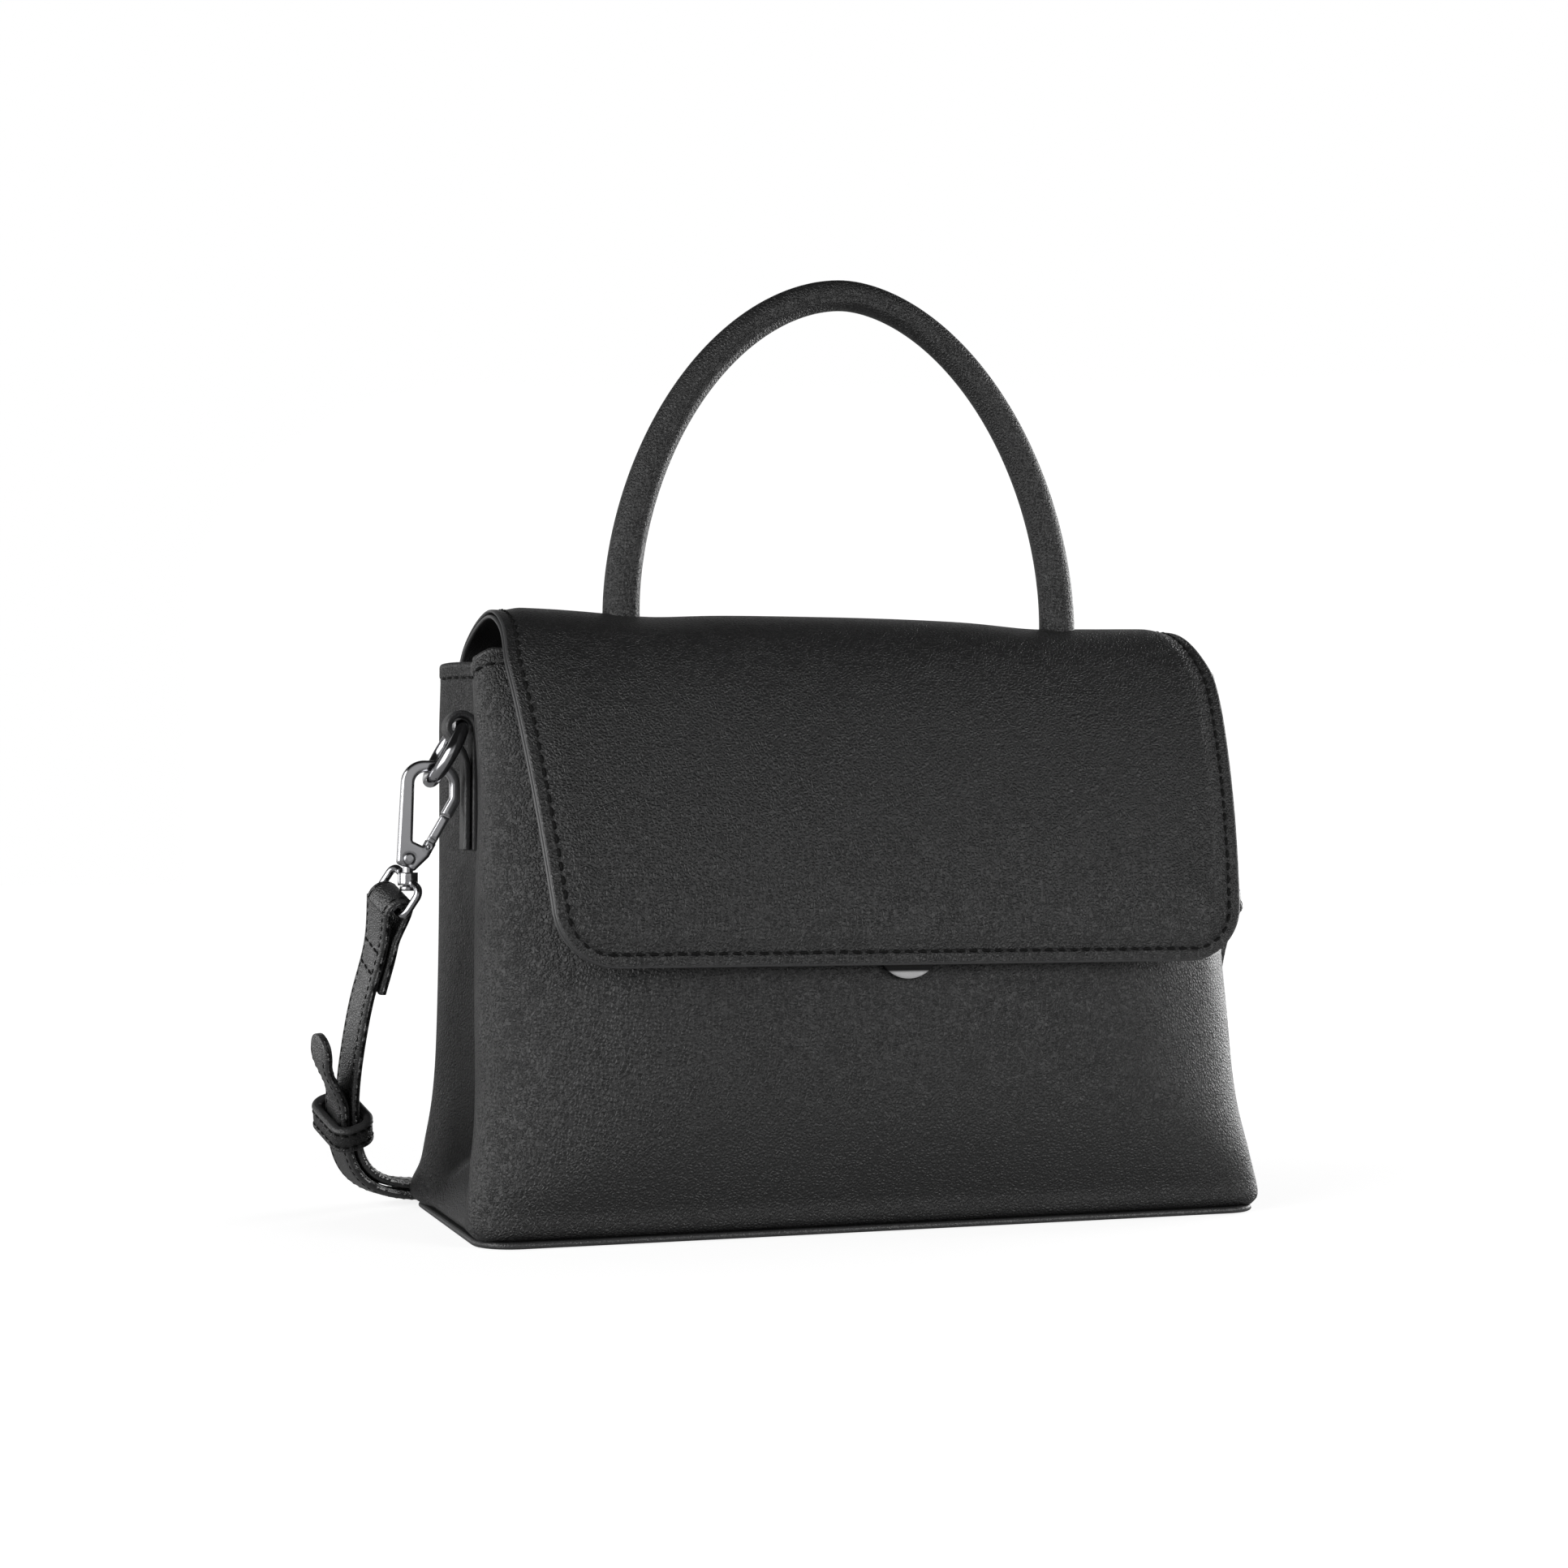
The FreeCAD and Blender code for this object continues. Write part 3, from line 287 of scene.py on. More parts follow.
def leatherFinish(name, toneShare, pebbleShare, strength, rough, shine):
    # pebbles are cells between creases, pulled about by noise; the rim attribute turns them into smooth edge paint
    # where it is above zero and into painted shade where it is below: the near black of a sewn groove or a deep fold
    look = leatherLook
    made, tree, shader, place = newMaterial(name)
    tone, pebble = look["tone"] * toneShare, look["pebble"] * pebbleShare
    pullScale, pullReach = look["pull"]
    pull = noise(tree, place, pebble * pullScale, output="Color")
    shift = node(tree, "ShaderNodeVectorMath", {0: pull, 1: (0.5, 0.5, 0.5)}, operation="SUBTRACT")
    shift = node(tree, "ShaderNodeVectorMath", {0: shift, "Scale": pullReach / pebble}, operation="SCALE")
    moved = node(tree, "ShaderNodeVectorMath", {0: place, 1: shift}, operation="ADD")
    cells = {"Vector": moved, "Scale": pebble}
    cells = node(tree, "ShaderNodeTexVoronoi", cells, "Distance", feature="DISTANCE_TO_EDGE")
    crest = ranged(tree, cells, 0.0, look["crease"], kind="SMOOTHSTEP")
    fine = noise(tree, place, look["fine"], 3.0)
    broad = noise(tree, place, look["broad"], 3.0)
    patch = noise(tree, place, look["patch"])
    crestRelief, fineRelief = look["relief"]
    least, raised = look["patchRelief"]
    relief = calc(tree, "MULTIPLY_ADD", crest, crestRelief, calc(tree, "MULTIPLY", fine, fineRelief))
    relief = calc(tree, "MULTIPLY", relief, calc(tree, "MULTIPLY_ADD", patch, raised, least))
    marked = node(tree, "ShaderNodeAttribute", None, "Fac", attribute_name="rim")
    rim = calc(tree, "MAXIMUM", marked, 0.0)
    # painted shade: where the rim attribute is below zero
    groove = calc(tree, "MAXIMUM", calc(tree, "MULTIPLY", marked, look["paintedShadeShare"]), 0.0)
    plain = calc(tree, "SUBTRACT", 1.0, rim)
    plain = calc(tree, "MULTIPLY_ADD", plain, 1 - look["rimRelief"], look["rimRelief"])
    relief = calc(tree, "MULTIPLY", relief, plain)
    # colour: random tone from the broad noise, and painted shade darkening the creases between pebbles
    broadShade, creasePaintedShade = look["shade"]
    shade = calc(tree, "MULTIPLY_ADD", broad, broadShade, calc(tree, "MULTIPLY", crest, creasePaintedShade))
    colour = mixed(tree, shade, rgba(tone, look["lowShade"]), rgba(tone, look["highShade"]))
    colour = mixed(tree, groove, colour, rgba(look["paintedShadeTone"]))
    colour = mixed(tree, rim, colour, rgba(look["rimTone"], look["rimTint"]))
    wear = calc(tree, "MULTIPLY_ADD", broad, look["wear"], rough - look["wear"] / 2)
    wear = calc(tree, "SUBTRACT", wear, calc(tree, "MULTIPLY", rim, rough - look["rimRough"]))
    wear = calc(tree, "MULTIPLY_ADD", groove, look["grooveRough"], wear)
    fill(tree, shader, {"Base Color": colour, "Roughness": wear, "Specular IOR Level": shine,
                        "Normal": bumped(tree, relief, strength, look["depth"])})
    return made


threadLook = {"ply": 900.0, "twist": 0.6, "relief": (0.4, 0.0001), "fuzz": 700.0, "shadedTones": (0.002, 0.006),
              "rough": 0.7, "shine": 0.15}


def threadFinish():
    # two twisted plies: a slanted wave on the object's own axes
    look = threadLook
    made, tree, shader, place = newMaterial("waxedThread")
    ply = wave(tree, place, look["ply"], look["twist"], "DIAGONAL")
    # painted shade: the thread's black is darkened below the hide's tone for the shadow in its holes
    low, high = look["shadedTones"]
    colour = mixed(tree, noise(tree, place, look["fuzz"]), rgba(low), rgba(high))
    fill(tree, shader, {"Base Color": colour, "Roughness": look["rough"], "Specular IOR Level": look["shine"],
                        "Normal": bumped(tree, ply, *look["relief"])})
    return made


clothLook = {"yarn": 420.0, "twist": 0.4, "weft": 0.6, "relief": (0.35, 0.0002), "rough": 0.82,
             "low": (0.006, 0.006, 0.007), "high": (0.022, 0.022, 0.024)}


def clothFinish():
    # plain weave: two crossed waves, the higher one on top
    look = clothLook
    made, tree, shader, place = newMaterial("blackTwill")
    x, y, z = (wave(tree, place, look["yarn"], look["twist"], axis) for axis in "XYZ")
    weave = calc(tree, "MAXIMUM", calc(tree, "MULTIPLY", x, z), calc(tree, "MULTIPLY", y, look["weft"]))
    fill(tree, shader, {"Base Color": mixed(tree, weave, rgba(1, look["low"]), rgba(1, look["high"])),
                        "Roughness": look["rough"], "Normal": bumped(tree, weave, *look["relief"])})
    return made


metalLook = {"colour": (0.42, 0.42, 0.435), "lowShade": 0.90, "cloud": 160.0, "hairlines": 2400.0, "rough": 0.07,
             "scratch": 0.06, "rounding": 0.0012}


def metalFinish():
    # polished plating: fine hairlines in the roughness, a faint cloud in the colour, edges rounded in the shading
    look = metalLook
    made, tree, shader, place = newMaterial("darkNickel")
    lines = noise(tree, place, look["hairlines"], 4.0)
    low, high = rgba(look["lowShade"], look["colour"]), rgba(1, look["colour"])
    fill(tree, shader, {"Base Color": mixed(tree, noise(tree, place, look["cloud"]), low, high), "Metallic": 1.0,
                        "Roughness": calc(tree, "MULTIPLY_ADD", lines, look["scratch"], look["rough"]),
                        "Normal": node(tree, "ShaderNodeBevel", {"Radius": look["rounding"]}, samples=8)})
    return made


# the dark colour is painted shade and reflection of the flap on the disc's top
lockLook = {"bright": (0.86, 0.86, 0.87), "paintedShade": 0.03, "shadeFrom": 0.0799, "shadeTo": 0.0806,
            "hairlines": 2400.0, "scratch": 0.05, "rough": 0.08}


def lockFinish():
    # bright plating with painted shade and reflection of the flap: it darkens towards the top, where the disc lies
    # under the flap
    look = lockLook
    made, tree, shader, place = newMaterial("lockChrome")
    high = node(tree, "ShaderNodeSeparateXYZ", {0: place}, "Z")
    shade = ranged(tree, high, look["shadeFrom"], look["shadeTo"])
    lines = noise(tree, place, look["hairlines"], 4.0)
    fill(tree, shader, {"Base Color": mixed(tree, shade, rgba(1, look["bright"]), rgba(look["paintedShade"])), "Metallic": 1.0,
                        "Roughness": calc(tree, "MULTIPLY_ADD", lines, look["scratch"], look["rough"])})
    return made


plainKinds = {
    # colour, roughness, grain per metre
    "bareMagnet": ((0.30, 0.30, 0.31), 0.4, 900.0),
    "fibreBoard": ((0.05, 0.05, 0.05), 0.9, 600.0),
    "twistedRope": ((0.52, 0.47, 0.40), 0.9, 1200.0),
}


def plainFinish(name, colour, rough, grain):
    # fibre board, rope or bare magnet inside the bag: a mottled colour with a fine bump
    made, tree, shader, place = newMaterial(name)
    mottle = noise(tree, place, grain, 3.0)
    fill(tree, shader, {"Base Color": mixed(tree, mottle, rgba(0.7, colour), rgba(1, colour)), "Roughness": rough,
                        "Normal": bumped(tree, mottle, 0.3, 0.0002)})
    return made


hide, strapHide, strapPaintedSheen, sideShadedHide, innerHide = (leatherFinish(name, *kind) for name, kind in leatherKinds.items())
magnetFinish, boardFinish, ropeFinish = (plainFinish(name, *kind) for name, kind in plainKinds.items())
cloth, waxed, nickel, chrome = clothFinish(), threadFinish(), metalFinish(), lockFinish()
print("finishes made")

body = {
    "halfWidth": 128.0, "halfDepth": 50.5, "floor": 4.0, "height": 172.0, "fold": 9.5, "leather": 1.7,
    # height, half width, front, front seam, back, back seam, inward fold, corner power
    "levels": [(0.000, 1.002, 0.996, 0.85, 0.990, 0.85, 0.00, 26.0),
               (0.058, 1.012, 1.080, 0.78, 1.030, 0.80, 0.82, 13.0),
               (0.157, 0.998, 1.190, 0.68, 1.050, 0.75, 0.97, 6.0),
               (0.326, 0.988, 1.245, 0.59, 1.030, 0.68, 0.90, 3.6),
               (0.541, 0.985, 1.212, 0.56, 0.990, 0.66, 0.76, 3.0),
               (0.790, 0.984, 0.985, 0.55, 0.860, 0.62, 0.71, 3.8),
               (1.000, 0.987, 0.600, 0.47, 0.700, 0.57, 0.66, 20.0)],
    # the sides tuck in further than the solids above the base, where a flat facet leads up to the fold
    "sink": 1.0, "sinkRise": 0.055, "sinkFade": 0.2, "facetSlope": 0.83, "facetSoft": 1.6,
    # dents in the front corners: side, height, spread, depth
    "dents": [(-1, 136.0, 24.0, 1.5), (1, 92.0, 26.0, 2.4)], "slump": 0.4,
    # hem: drop of its stitches, stand off the wall, roundness, depth and width of the groove, edge paint
    "hemDrop": 3.9, "hemStand": 0.35, "hemRound": 1.3, "hemGroove": (0.45, 0.55), "hemPaint": 0.45,
    # rise of the top over the solids: behind and its loss in front, at the front's corners and its gain further in
    "riseFrom": 130.0, "sideRise": (1.9, 3.1), "frontRise": (0.3, 2.3),
    # foot: roll over the sole (stand, height, spread), tuck below it, drop of the skirt, ears at the corners
    "roll": (0.75, 2.6, 2.2), "tuck": (0.9, 1.6), "skirt": (1.9, 7.0), "ear": 1.5, "rearEar": 3.6, "earAt": (4.5, 5.5),
    # painted light on the sides' low facet and painted shade in their fold above it
    "facetPaintedLight": 0.4, "foldPaintedShade": 2.0,
}
wallKinds = {"panel": (250, 0.72, 0.05), "gusset": (90, 0.2, 0.22)}  # columns, crowding, share taken by an ear


def bodyLevels(heights):
    # every column of the level table as a spline of the height; the corner power goes through its logarithm
    table = np.array(body["levels"])
    values = table[:, 1:].copy()
    values[:, 6] = np.log(values[:, 6])
    out = splineThrough(table[:, 0], values, heights)
    out[:, 6] = np.exp(out[:, 6])
    return out


def wallGrid(kind, which, heights, shares, fine=720):
    # outer face of one wall: a power curve (panels) or a squared cosine fold (sides) at each height,
    # spaced by length, with the direction that points into the bag
    wide, front, frontSeam, back, backSeam, fold, power = (c[:, None] for c in bodyLevels(heights).T)
    h = np.asarray(heights)[:, None]
    rise = body["sinkRise"]
    fold = fold * (1 + body["sink"] * smooth(h / rise) * np.exp(-np.maximum(h - rise, 0) / body["sinkFade"]))
    halfWidth, halfDepth = body["halfWidth"], body["halfDepth"]
    t = np.linspace(0, 1, fine + 1)[None]
    if kind == "panel":
        seam = halfDepth * (frontSeam if which < 0 else backSeam)
        bulge = halfDepth * (front if which < 0 else back) - seam
        cosine = np.cos(np.pi * t)
        x = which * np.copysign(halfWidth * wide * np.abs(cosine) ** (2 / power), cosine)
        y = which * (seam + bulge * np.sin(np.pi * t))
    else:
        across = -1 + 2 * t
        start, end = -halfDepth * frontSeam, halfDepth * backSeam
        y = (start + end) / 2 + which * across * (end - start) / 2
        # the fold stops at a plane that rises inwards from the base: the lesser of the two, with a soft crease
        deep = body["fold"] * fold * np.cos(across * np.pi / 2) ** 2
        facet = body["facetSlope"] * body["height"] * h
        deep = np.maximum((deep + facet - np.sqrt((deep - facet) ** 2 + body["facetSoft"] ** 2)) / 2, 0)
        x = which * (halfWidth * wide - deep) + 0 * y
    step = np.hypot(np.diff(x, axis=1), np.diff(y, axis=1))
    length = np.concatenate([np.zeros((len(heights), 1)), np.cumsum(step, axis=1)], axis=1)
    at = np.asarray(shares)[None] * length[:, -1:]
    px, py = (np.stack([np.interp(a, l, v) for a, l, v in zip(at, length, values)]) for values in (x, y))
    z = np.broadcast_to(body["floor"] + body["height"] * heights[:, None], px.shape)
    grid = np.stack([px, py, z], -1)
    along = unit(np.gradient(grid, axis=1) * [1, 1, 0])
    return grid, np.stack([-along[..., 1], along[..., 0], 0 * z], -1)


def slumpOf(grid):
    # slow waves of soft leather, a fraction of a millimetre, gone at the floor and at the top
    x, y, z = np.moveaxis(grid, -1, 0)
    waves = np.sin(x / 31 + 0.7) * np.sin(z / 23 + 0.3)
    waves = waves + 0.6 * np.sin(x / 17 - z / 29 + 1.9) + 0.5 * np.sin(y / 13 + z / 37)
    return waves * body["slump"] * smooth((z - 6) / 25) * smooth((174 - z) / 20)


def dented(grid):
    # the front corners drawn in at one height each, as a bell curve up the corner
    x, y, z = np.moveaxis(grid, -1, 0)
    corner = smooth((np.abs(x) - 108) / 14) * smooth((-10 - y) / 14)
    shift = sum(side * depth * (x * side > 0) * bell((z - high) / spread)
                for side, high, spread, depth in body["dents"])
    return np.stack([x - shift * corner, y, z], -1)


def wallStand(grid, edge, earShare):
    # how far the leather stands off the solid: hem and its groove at the top, ears, roll and tuck at the foot
    above = grid[..., 2] - body["floor"]
    below = body["height"] - above
    groove, grooveWide = body["hemGroove"]
    stand = body["hemStand"] * smooth((body["hemDrop"] + 1.0 - below) / 0.8)
    stand = stand - groove * bell((below - body["hemDrop"]) / grooveWide) + slumpOf(grid)
    ear = np.where(grid[..., 1] > 0, body["rearEar"], body["ear"]) * (1 - smooth(edge / earShare))
    high, spread = body["earAt"]
    stand = stand + ear * bell((above - high) / spread)
    out, high, spread = body["roll"]
    tuck, low = body["tuck"]
    return stand + out * bell((above - high) / spread) - tuck * (1 - smooth(above / low))


def buildWall(name, kind, which, nodeName):
    # outer face up to the hem, over the rounded fold at the top, and down the inside
    columns, crowd, earShare = wallKinds[kind]
    heights = np.concatenate([dense(90, 0.55) * 0.955, np.linspace(0.9575, 1.0, 30)])
    shares = dense(columns, crowd)
    grid, inward = wallGrid(kind, which, heights, shares)
    z = grid[..., 2]
    above, below = z - body["floor"], body["floor"] + body["height"] - z
    edge = np.minimum(shares, 1 - shares)[None]
    most, loss = body["sideRise"]
    rise = most - loss * smooth((25 - grid[-1:, :, 1]) / 50)
    if kind == "panel" and which < 0:
        least, gain = body["frontRise"]
        rise = least + gain * smooth(edge / 0.030)
    roundness, hemDrop = body["hemRound"], body["hemDrop"]
    outer = grid - inward * wallStand(grid, edge, earShare)[..., None]
    riseSpan = body["floor"] + body["height"] - body["riseFrom"]
    outer[..., 2] += rise * smooth((z - body["riseFrom"]) / riseSpan) - roundness * above / body["height"]
    skirt, skirtTall = body["skirt"]
    outer[..., 2] -= skirt * (1 - smooth(above / skirtTall))
    turn = np.linspace(0, np.pi, 9)[1:-1]
    lip = outer[-1][None] + (1 - np.cos(turn))[:, None, None] * roundness * inward[-1][None]
    lip[..., 2] += np.sin(turn)[:, None] * roundness
    inner = grid + inward * body["leather"]
    inner[..., 2] = outer[..., 2]
    hemThick = 2 * roundness - body["hemStand"] - body["leather"]
    inner = inner + inward * (hemThick * smooth((hemDrop + 2 - below) / 3))[..., None]
    loop = dented(np.concatenate([outer, lip, inner[::-1]]))
    rim = np.zeros(loop.shape[:2])
    if kind == "gusset":
        # painted light on the low facet that faces up: it takes the lighter, smoother edge paint; painted shade in the
        # fold above it
        depth = body["halfWidth"] * bodyLevels(heights)[:, :1] - np.abs(grid[..., 0])
        paintedFacetLight = smooth(1.2 - (body["facetSlope"] * above - depth) / 2.5) * smooth((26 - above) / 8)
        paintedShade = (1 - paintedFacetLight) * smooth(depth / 7) * np.exp(-np.maximum(above - 14, 0) / 40)
        rim[:len(outer)] = body["facetPaintedLight"] * paintedFacetLight * smooth(above / 4) - body["foldPaintedShade"] * paintedShade
    rim[len(outer) - 2:len(outer) + 9] = body["hemPaint"]
    piece = addPiece(name, [tube(loop, rim)], sideShadedHide if kind == "gusset" else hide)
    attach(piece, "bag")
    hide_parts(nodeName)
    row = int(np.argmin(np.abs(below[:, 0] - hemDrop)))
    return stitches(outer[row, 3:-3], -inward[row, 3:-3], thread)


hemRuns = [buildWall("frontWall", "panel", -1, "front_panel"), buildWall("backWall", "panel", 1, "back_panel"),
           buildWall("leftSide", "gusset", -1, "gusset_left"), buildWall("rightSide", "gusset", 1, "gusset_right")]
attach(addPiece("hemThread", hemRuns, waxed), "bag")
print("walls and hems made")

lining = {"gap": 1.95, "thick": 0.7, "floor": 4.6, "floorThick": 0.8, "halfX": 122.0, "halfY": 44.7, "ripple": 0.25}


def buildLining():
    # cloth skins offset into the bag from each wall, and a rippled cloth floor
    heights = np.linspace(0.012, 0.985, 60)
    parts = []
    for kind, which in (("panel", -1), ("panel", 1), ("gusset", -1), ("gusset", 1)):
        shares = dense(90, 0.6) if kind == "panel" else np.linspace(0, 1, 40)
        grid, inward = wallGrid(kind, which, heights, shares)
        face, back = grid + inward * lining["gap"], grid + inward * (lining["gap"] + lining["thick"])
        parts.append(tube(dented(np.concatenate([face, back[::-1]]))))
    x, y = np.meshgrid(np.linspace(-1, 1, 60) * lining["halfX"], np.linspace(-1, 1, 30) * lining["halfY"])
    ripple = lining["ripple"] * (np.sin(x / 19) * np.sin(y / 11) - 1)
    top = np.stack([x, y, lining["floor"] + lining["floorThick"] + ripple], -1)
    under = np.stack([x, y, np.full_like(x, lining["floor"])], -1)
    parts.append(tube(np.concatenate([top, under[::-1]])))
    piece = addPiece("liningCloth", parts, cloth)
    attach(piece, "bag")
    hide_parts("lining_front", "lining_back", "lining_left", "lining_right", "lining_base")


buildLining()

base = {
    # node, half sizes, rear and front corners, bottom, top, roundness of the edge, edge paint
    "soleHide": ("base_panel", (129.4, 51.9), (5.5, 13.0), 0.0, 2.0, 0.95, 0.55),
    "weltHide": ("base_welt", (126.6, 49.2), (6.0, 12.0), 1.8, 4.0, 0.75, 0.35),
}


def rimPath(half, deep, rear, front, count):
    # rounded rectangle by length, from its straight sides and quarter turns, rear and front corners of their own
    turn = np.linspace(0, np.pi / 2, 24)
    arc = np.stack([np.cos(turn), np.sin(turn)], 1)
    across = np.stack([-arc[:, 1], arc[:, 0]], 1)
    quarters = [arc * rear + [half - rear, deep - rear], across * rear + [rear - half, deep - rear],
                -arc * front + [front - half, front - deep], -across * front + [half - front, front - deep]]
    path = np.concatenate(quarters + [quarters[0][:1]])
    return alongPath(path, path, np.arange(count) / count)


def rimPlate(half, deep, corners, low, high, roundness, count=360):
    # plate from rings: each ring is the rim drawn in, high enough to round the edge, the last ones near the middle
    turn = np.linspace(-np.pi / 2, np.pi / 2, 11)
    inset = np.concatenate([[deep * 0.96], roundness * (1 - np.cos(turn)), [deep * 0.96]])
    z = np.where(turn < 0, low + roundness, high - roundness) + roundness * np.sin(turn)
    rings = []
    for i, level in zip(inset, np.concatenate([[low], z, [high]])):
        path = rimPath(half - i, deep - i, *(max(c - i, 0.4) for c in corners), count)
        rings.append(np.column_stack([path, np.full(count, level)]))
    return np.stack(rings)


for name, (nodeName, size, corners, low, high, roundness, paint) in base.items():
    plate = rimPlate(*size, corners, low, high, roundness)
    rim = np.zeros(plate.shape[:2])
    rim[3:-3] = paint
    piece = addPiece(name, [tube(plate, rim, ring=True)], strapHide)
    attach(piece, "bag")
    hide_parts(nodeName)
print("base made")

flap = {
    "foot": 36.895, "reach": 107.797, "top": 193.0, "drop": 110.5,
    # outer line from the back foot to the front edge, as shares of the reach and the drop
    "line": [(0.000, 0.125), (0.0223, 0.0769), (0.0600, 0.0460), (0.1382, 0.0190), (0.2495, 0.0045), (0.3609, 0.000),
             (0.4907, 0.018), (0.6020, 0.0706), (0.6948, 0.1575), (0.8154, 0.360), (0.9045, 0.5765), (0.9638, 0.769),
             (0.9935, 0.914), (1.000, 1.000)],
    "crestHalf": 116.4, "crestRise": 18.0, "widestHalf": 119.5, "widest": 176.0, "edgeHalf": 109.6, "corner": 17.0,
    # spread of the half width over the top: place from front to back, amount
    "hood": [(-45.0, 0.0), (-28.0, 0.4), (-16.0, 1.3), (-2.0, 1.3), (10.0, 0.7), (22.0, 0.0), (30.0, -0.2),
             (37.0, 0.0)],
    # strip sewn to the back panel, and the height from which the flap no longer follows that panel
    "stripHalf": 114.0, "stripLow": 154.0, "stripHigh": 174.0, "stripStand": 2.0, "seatTop": 179.0, "seatFade": 5.0,
    "panelTop": 175.5, "rearFrom": 20.0,
    # depths of the plies, then border, pillow and groove of the face, its sinking at the handle and its edges
    "ply": 1.45, "lining": (2.4, 4.2), "liningEdge": (2.0, 3.2), "liningSpread": 0.3, "border": 4.0, "pillow": 0.9,
    "sunk": 0.35, "groove": 0.4, "dip": 1.1, "edgeRound": 0.9, "liningRound": 0.7, "liningPaint": (1.15, 0.6),
    "threadSunk": 0.6, "thread": dict(thread, thick=0.95, reach=0.68),
}


def flapLine(count=900):
    # spline through the line's points, spaced by the lengths between them
    points = [flap["foot"], flap["top"]] - np.array(flap["line"]) * [flap["reach"], flap["drop"]]
    knots = pathLength(points)
    return splineThrough(knots / knots[-1], points, np.linspace(0, 1, count))


def flapHalf(z):
    # half width by height: two straight flanks meeting at the widest level, softened there
    low = flap["top"] - flap["drop"]
    widest = flap["widestHalf"]
    lower = flap["edgeHalf"] + (widest - flap["edgeHalf"]) * (z - low) / (flap["widest"] - low)
    upper = widest + (flap["crestHalf"] - widest) * (z - flap["widest"]) / flap["crestRise"]
    return -np.log(np.exp(-lower * 2) + np.exp(-upper * 2)) / 2 - 0.1


def overTop(y, z):
    # half width with the hood's spread over the top
    hood = np.array(flap["hood"])
    return flapHalf(z) + splineThrough(hood[:, 0], hood[:, 1], y)[:, 0]


def flapWide(y, z):
    # the same, drawn in to the strip's half width on the back panel
    strip = flap["stripHalf"]
    behind = strip + (overTop(y, np.maximum(z, flap["seatTop"])) - strip) * smooth((z - 169) / 9)
    return np.where(y > flap["rearFrom"], behind, overTop(y, z))


def backDepth(x, z):
    # outside of the back panel: solves its power curve for a given x
    levels = bodyLevels((np.ravel(z) - body["floor"]) / body["height"]).T
    wide, back, backSeam, power = (levels[n].reshape(np.shape(z)) for n in (0, 3, 4, 6))
    ratio = np.clip(np.abs(x) / (body["halfWidth"] * wide), 0, 1) ** (power / 2)
    seam = body["halfDepth"] * backSeam
    return seam + (body["halfDepth"] * back - seam) * np.sqrt(1 - ratio ** 2)


def flapDip(x, z):
    # the top sinks a little round the handle's feet
    return flap["dip"] * bell((np.abs(x) - 67) / 17) * smooth((z - 183) / 8)


def flapPlace(x, y, z):
    # the strip follows the back panel away from its middle, the top dips at the handle's feet
    level = np.minimum(z, flap["panelTop"])
    seat = smooth((flap["seatTop"] - z) / flap["seatFade"]) * (y > flap["rearFrom"])
    return np.stack([x, y + (backDepth(x, level) - backDepth(0 * x, level)) * seat, z - flapDip(x, z)], -1)


def edgeSteps(first, last, count):
    # distances in from an edge, small at first and wider further in
    return first * (last / first) ** np.linspace(0, 1, count)


def rimSteps(count, last, lastCount):
    # the same in three stretches: the rounded edge, even steps over the stitch groove, and the way in
    rounded, inwards = edgeSteps(0.03, 2.7, count), edgeSteps(6.0, last, lastCount)
    return np.concatenate([[0], rounded, np.linspace(2.9, 5.5, 16), inwards])


def sheetGrid(line, half, corner, cols):
    # a sheet along a line (y, z): columns keep their distance from both sides, rows crowd at the front edge,
    # the half width is drawn in by a quarter circle at the front corners
    total = pathLength(line)[-1]
    front, side = rimSteps(16, 20.0, 12), rimSteps(14, 12.0, 7)
    rear = np.concatenate([[0], edgeSteps(0.05, 6.0, 14)])
    middle = np.linspace(rear[-1], total - front[-1], 120)[1:-1]
    s = np.concatenate([rear, middle, (total - front)[::-1]])
    y, z = alongPath(line, line, s / total).T
    slope = alongPath(line, np.gradient(line, axis=0), s / total)
    normal = unit(np.stack([0 * s, slope[:, 1], -slope[:, 0]], 1))[:, None]
    wide = half(y, z)
    past = np.clip(s - (total - corner), 0, corner)
    drawn = wide - corner + np.sqrt(np.maximum(corner ** 2 - past ** 2, 0))
    inner = (-drawn + side[-1])[:, None] * (1 - 2 * np.linspace(0, 1, cols)[1:-1])[None]
    x = np.concatenate([-drawn[:, None] + side[None], inner, drawn[:, None] - side[::-1][None]], axis=1)
    cx, cs = wide[:, None] - corner, total - corner
    inCorner = (np.abs(x) > cx) & (s[:, None] > cs)
    fromArc = corner - np.hypot(np.abs(x) - cx, s[:, None] - cs)
    d = np.where(inCorner, fromArc, np.minimum(wide[:, None] - np.abs(x), total - s[:, None]))
    d = np.clip(np.minimum(d, s[:, None]), 0, None)
    return s, x, np.broadcast_to(y[:, None], x.shape), np.broadcast_to(z[:, None], x.shape), normal, d


def closeSheet(face, back, rim):
    # face and back share their rim: two grids wound into one tube across the sheet
    loop = np.concatenate([np.swapaxes(face, 0, 1), np.swapaxes(back, 0, 1)[::-1]])
    return tube(loop, np.concatenate([rim.T, rim.T[::-1]]))


def roundEdge(d, radius):
    # quarter circle: 0 at the edge, 1 from the radius on
    return np.sqrt(1 - (1 - np.clip(d / radius, 0, 1)) ** 2)


def innerPly(mid, normal, high, low, d, radius, paint):
    # ply between two depths under a surface, its edge rounded and painted
    full, centre = roundEdge(d, radius), (high + low) / 2
    face = mid - normal * (centre - (centre - high) * full)[..., None]
    back = mid - normal * (centre + (low - centre) * full)[..., None]
    return closeSheet(face, back, smooth((paint[0] - d) / paint[1]))


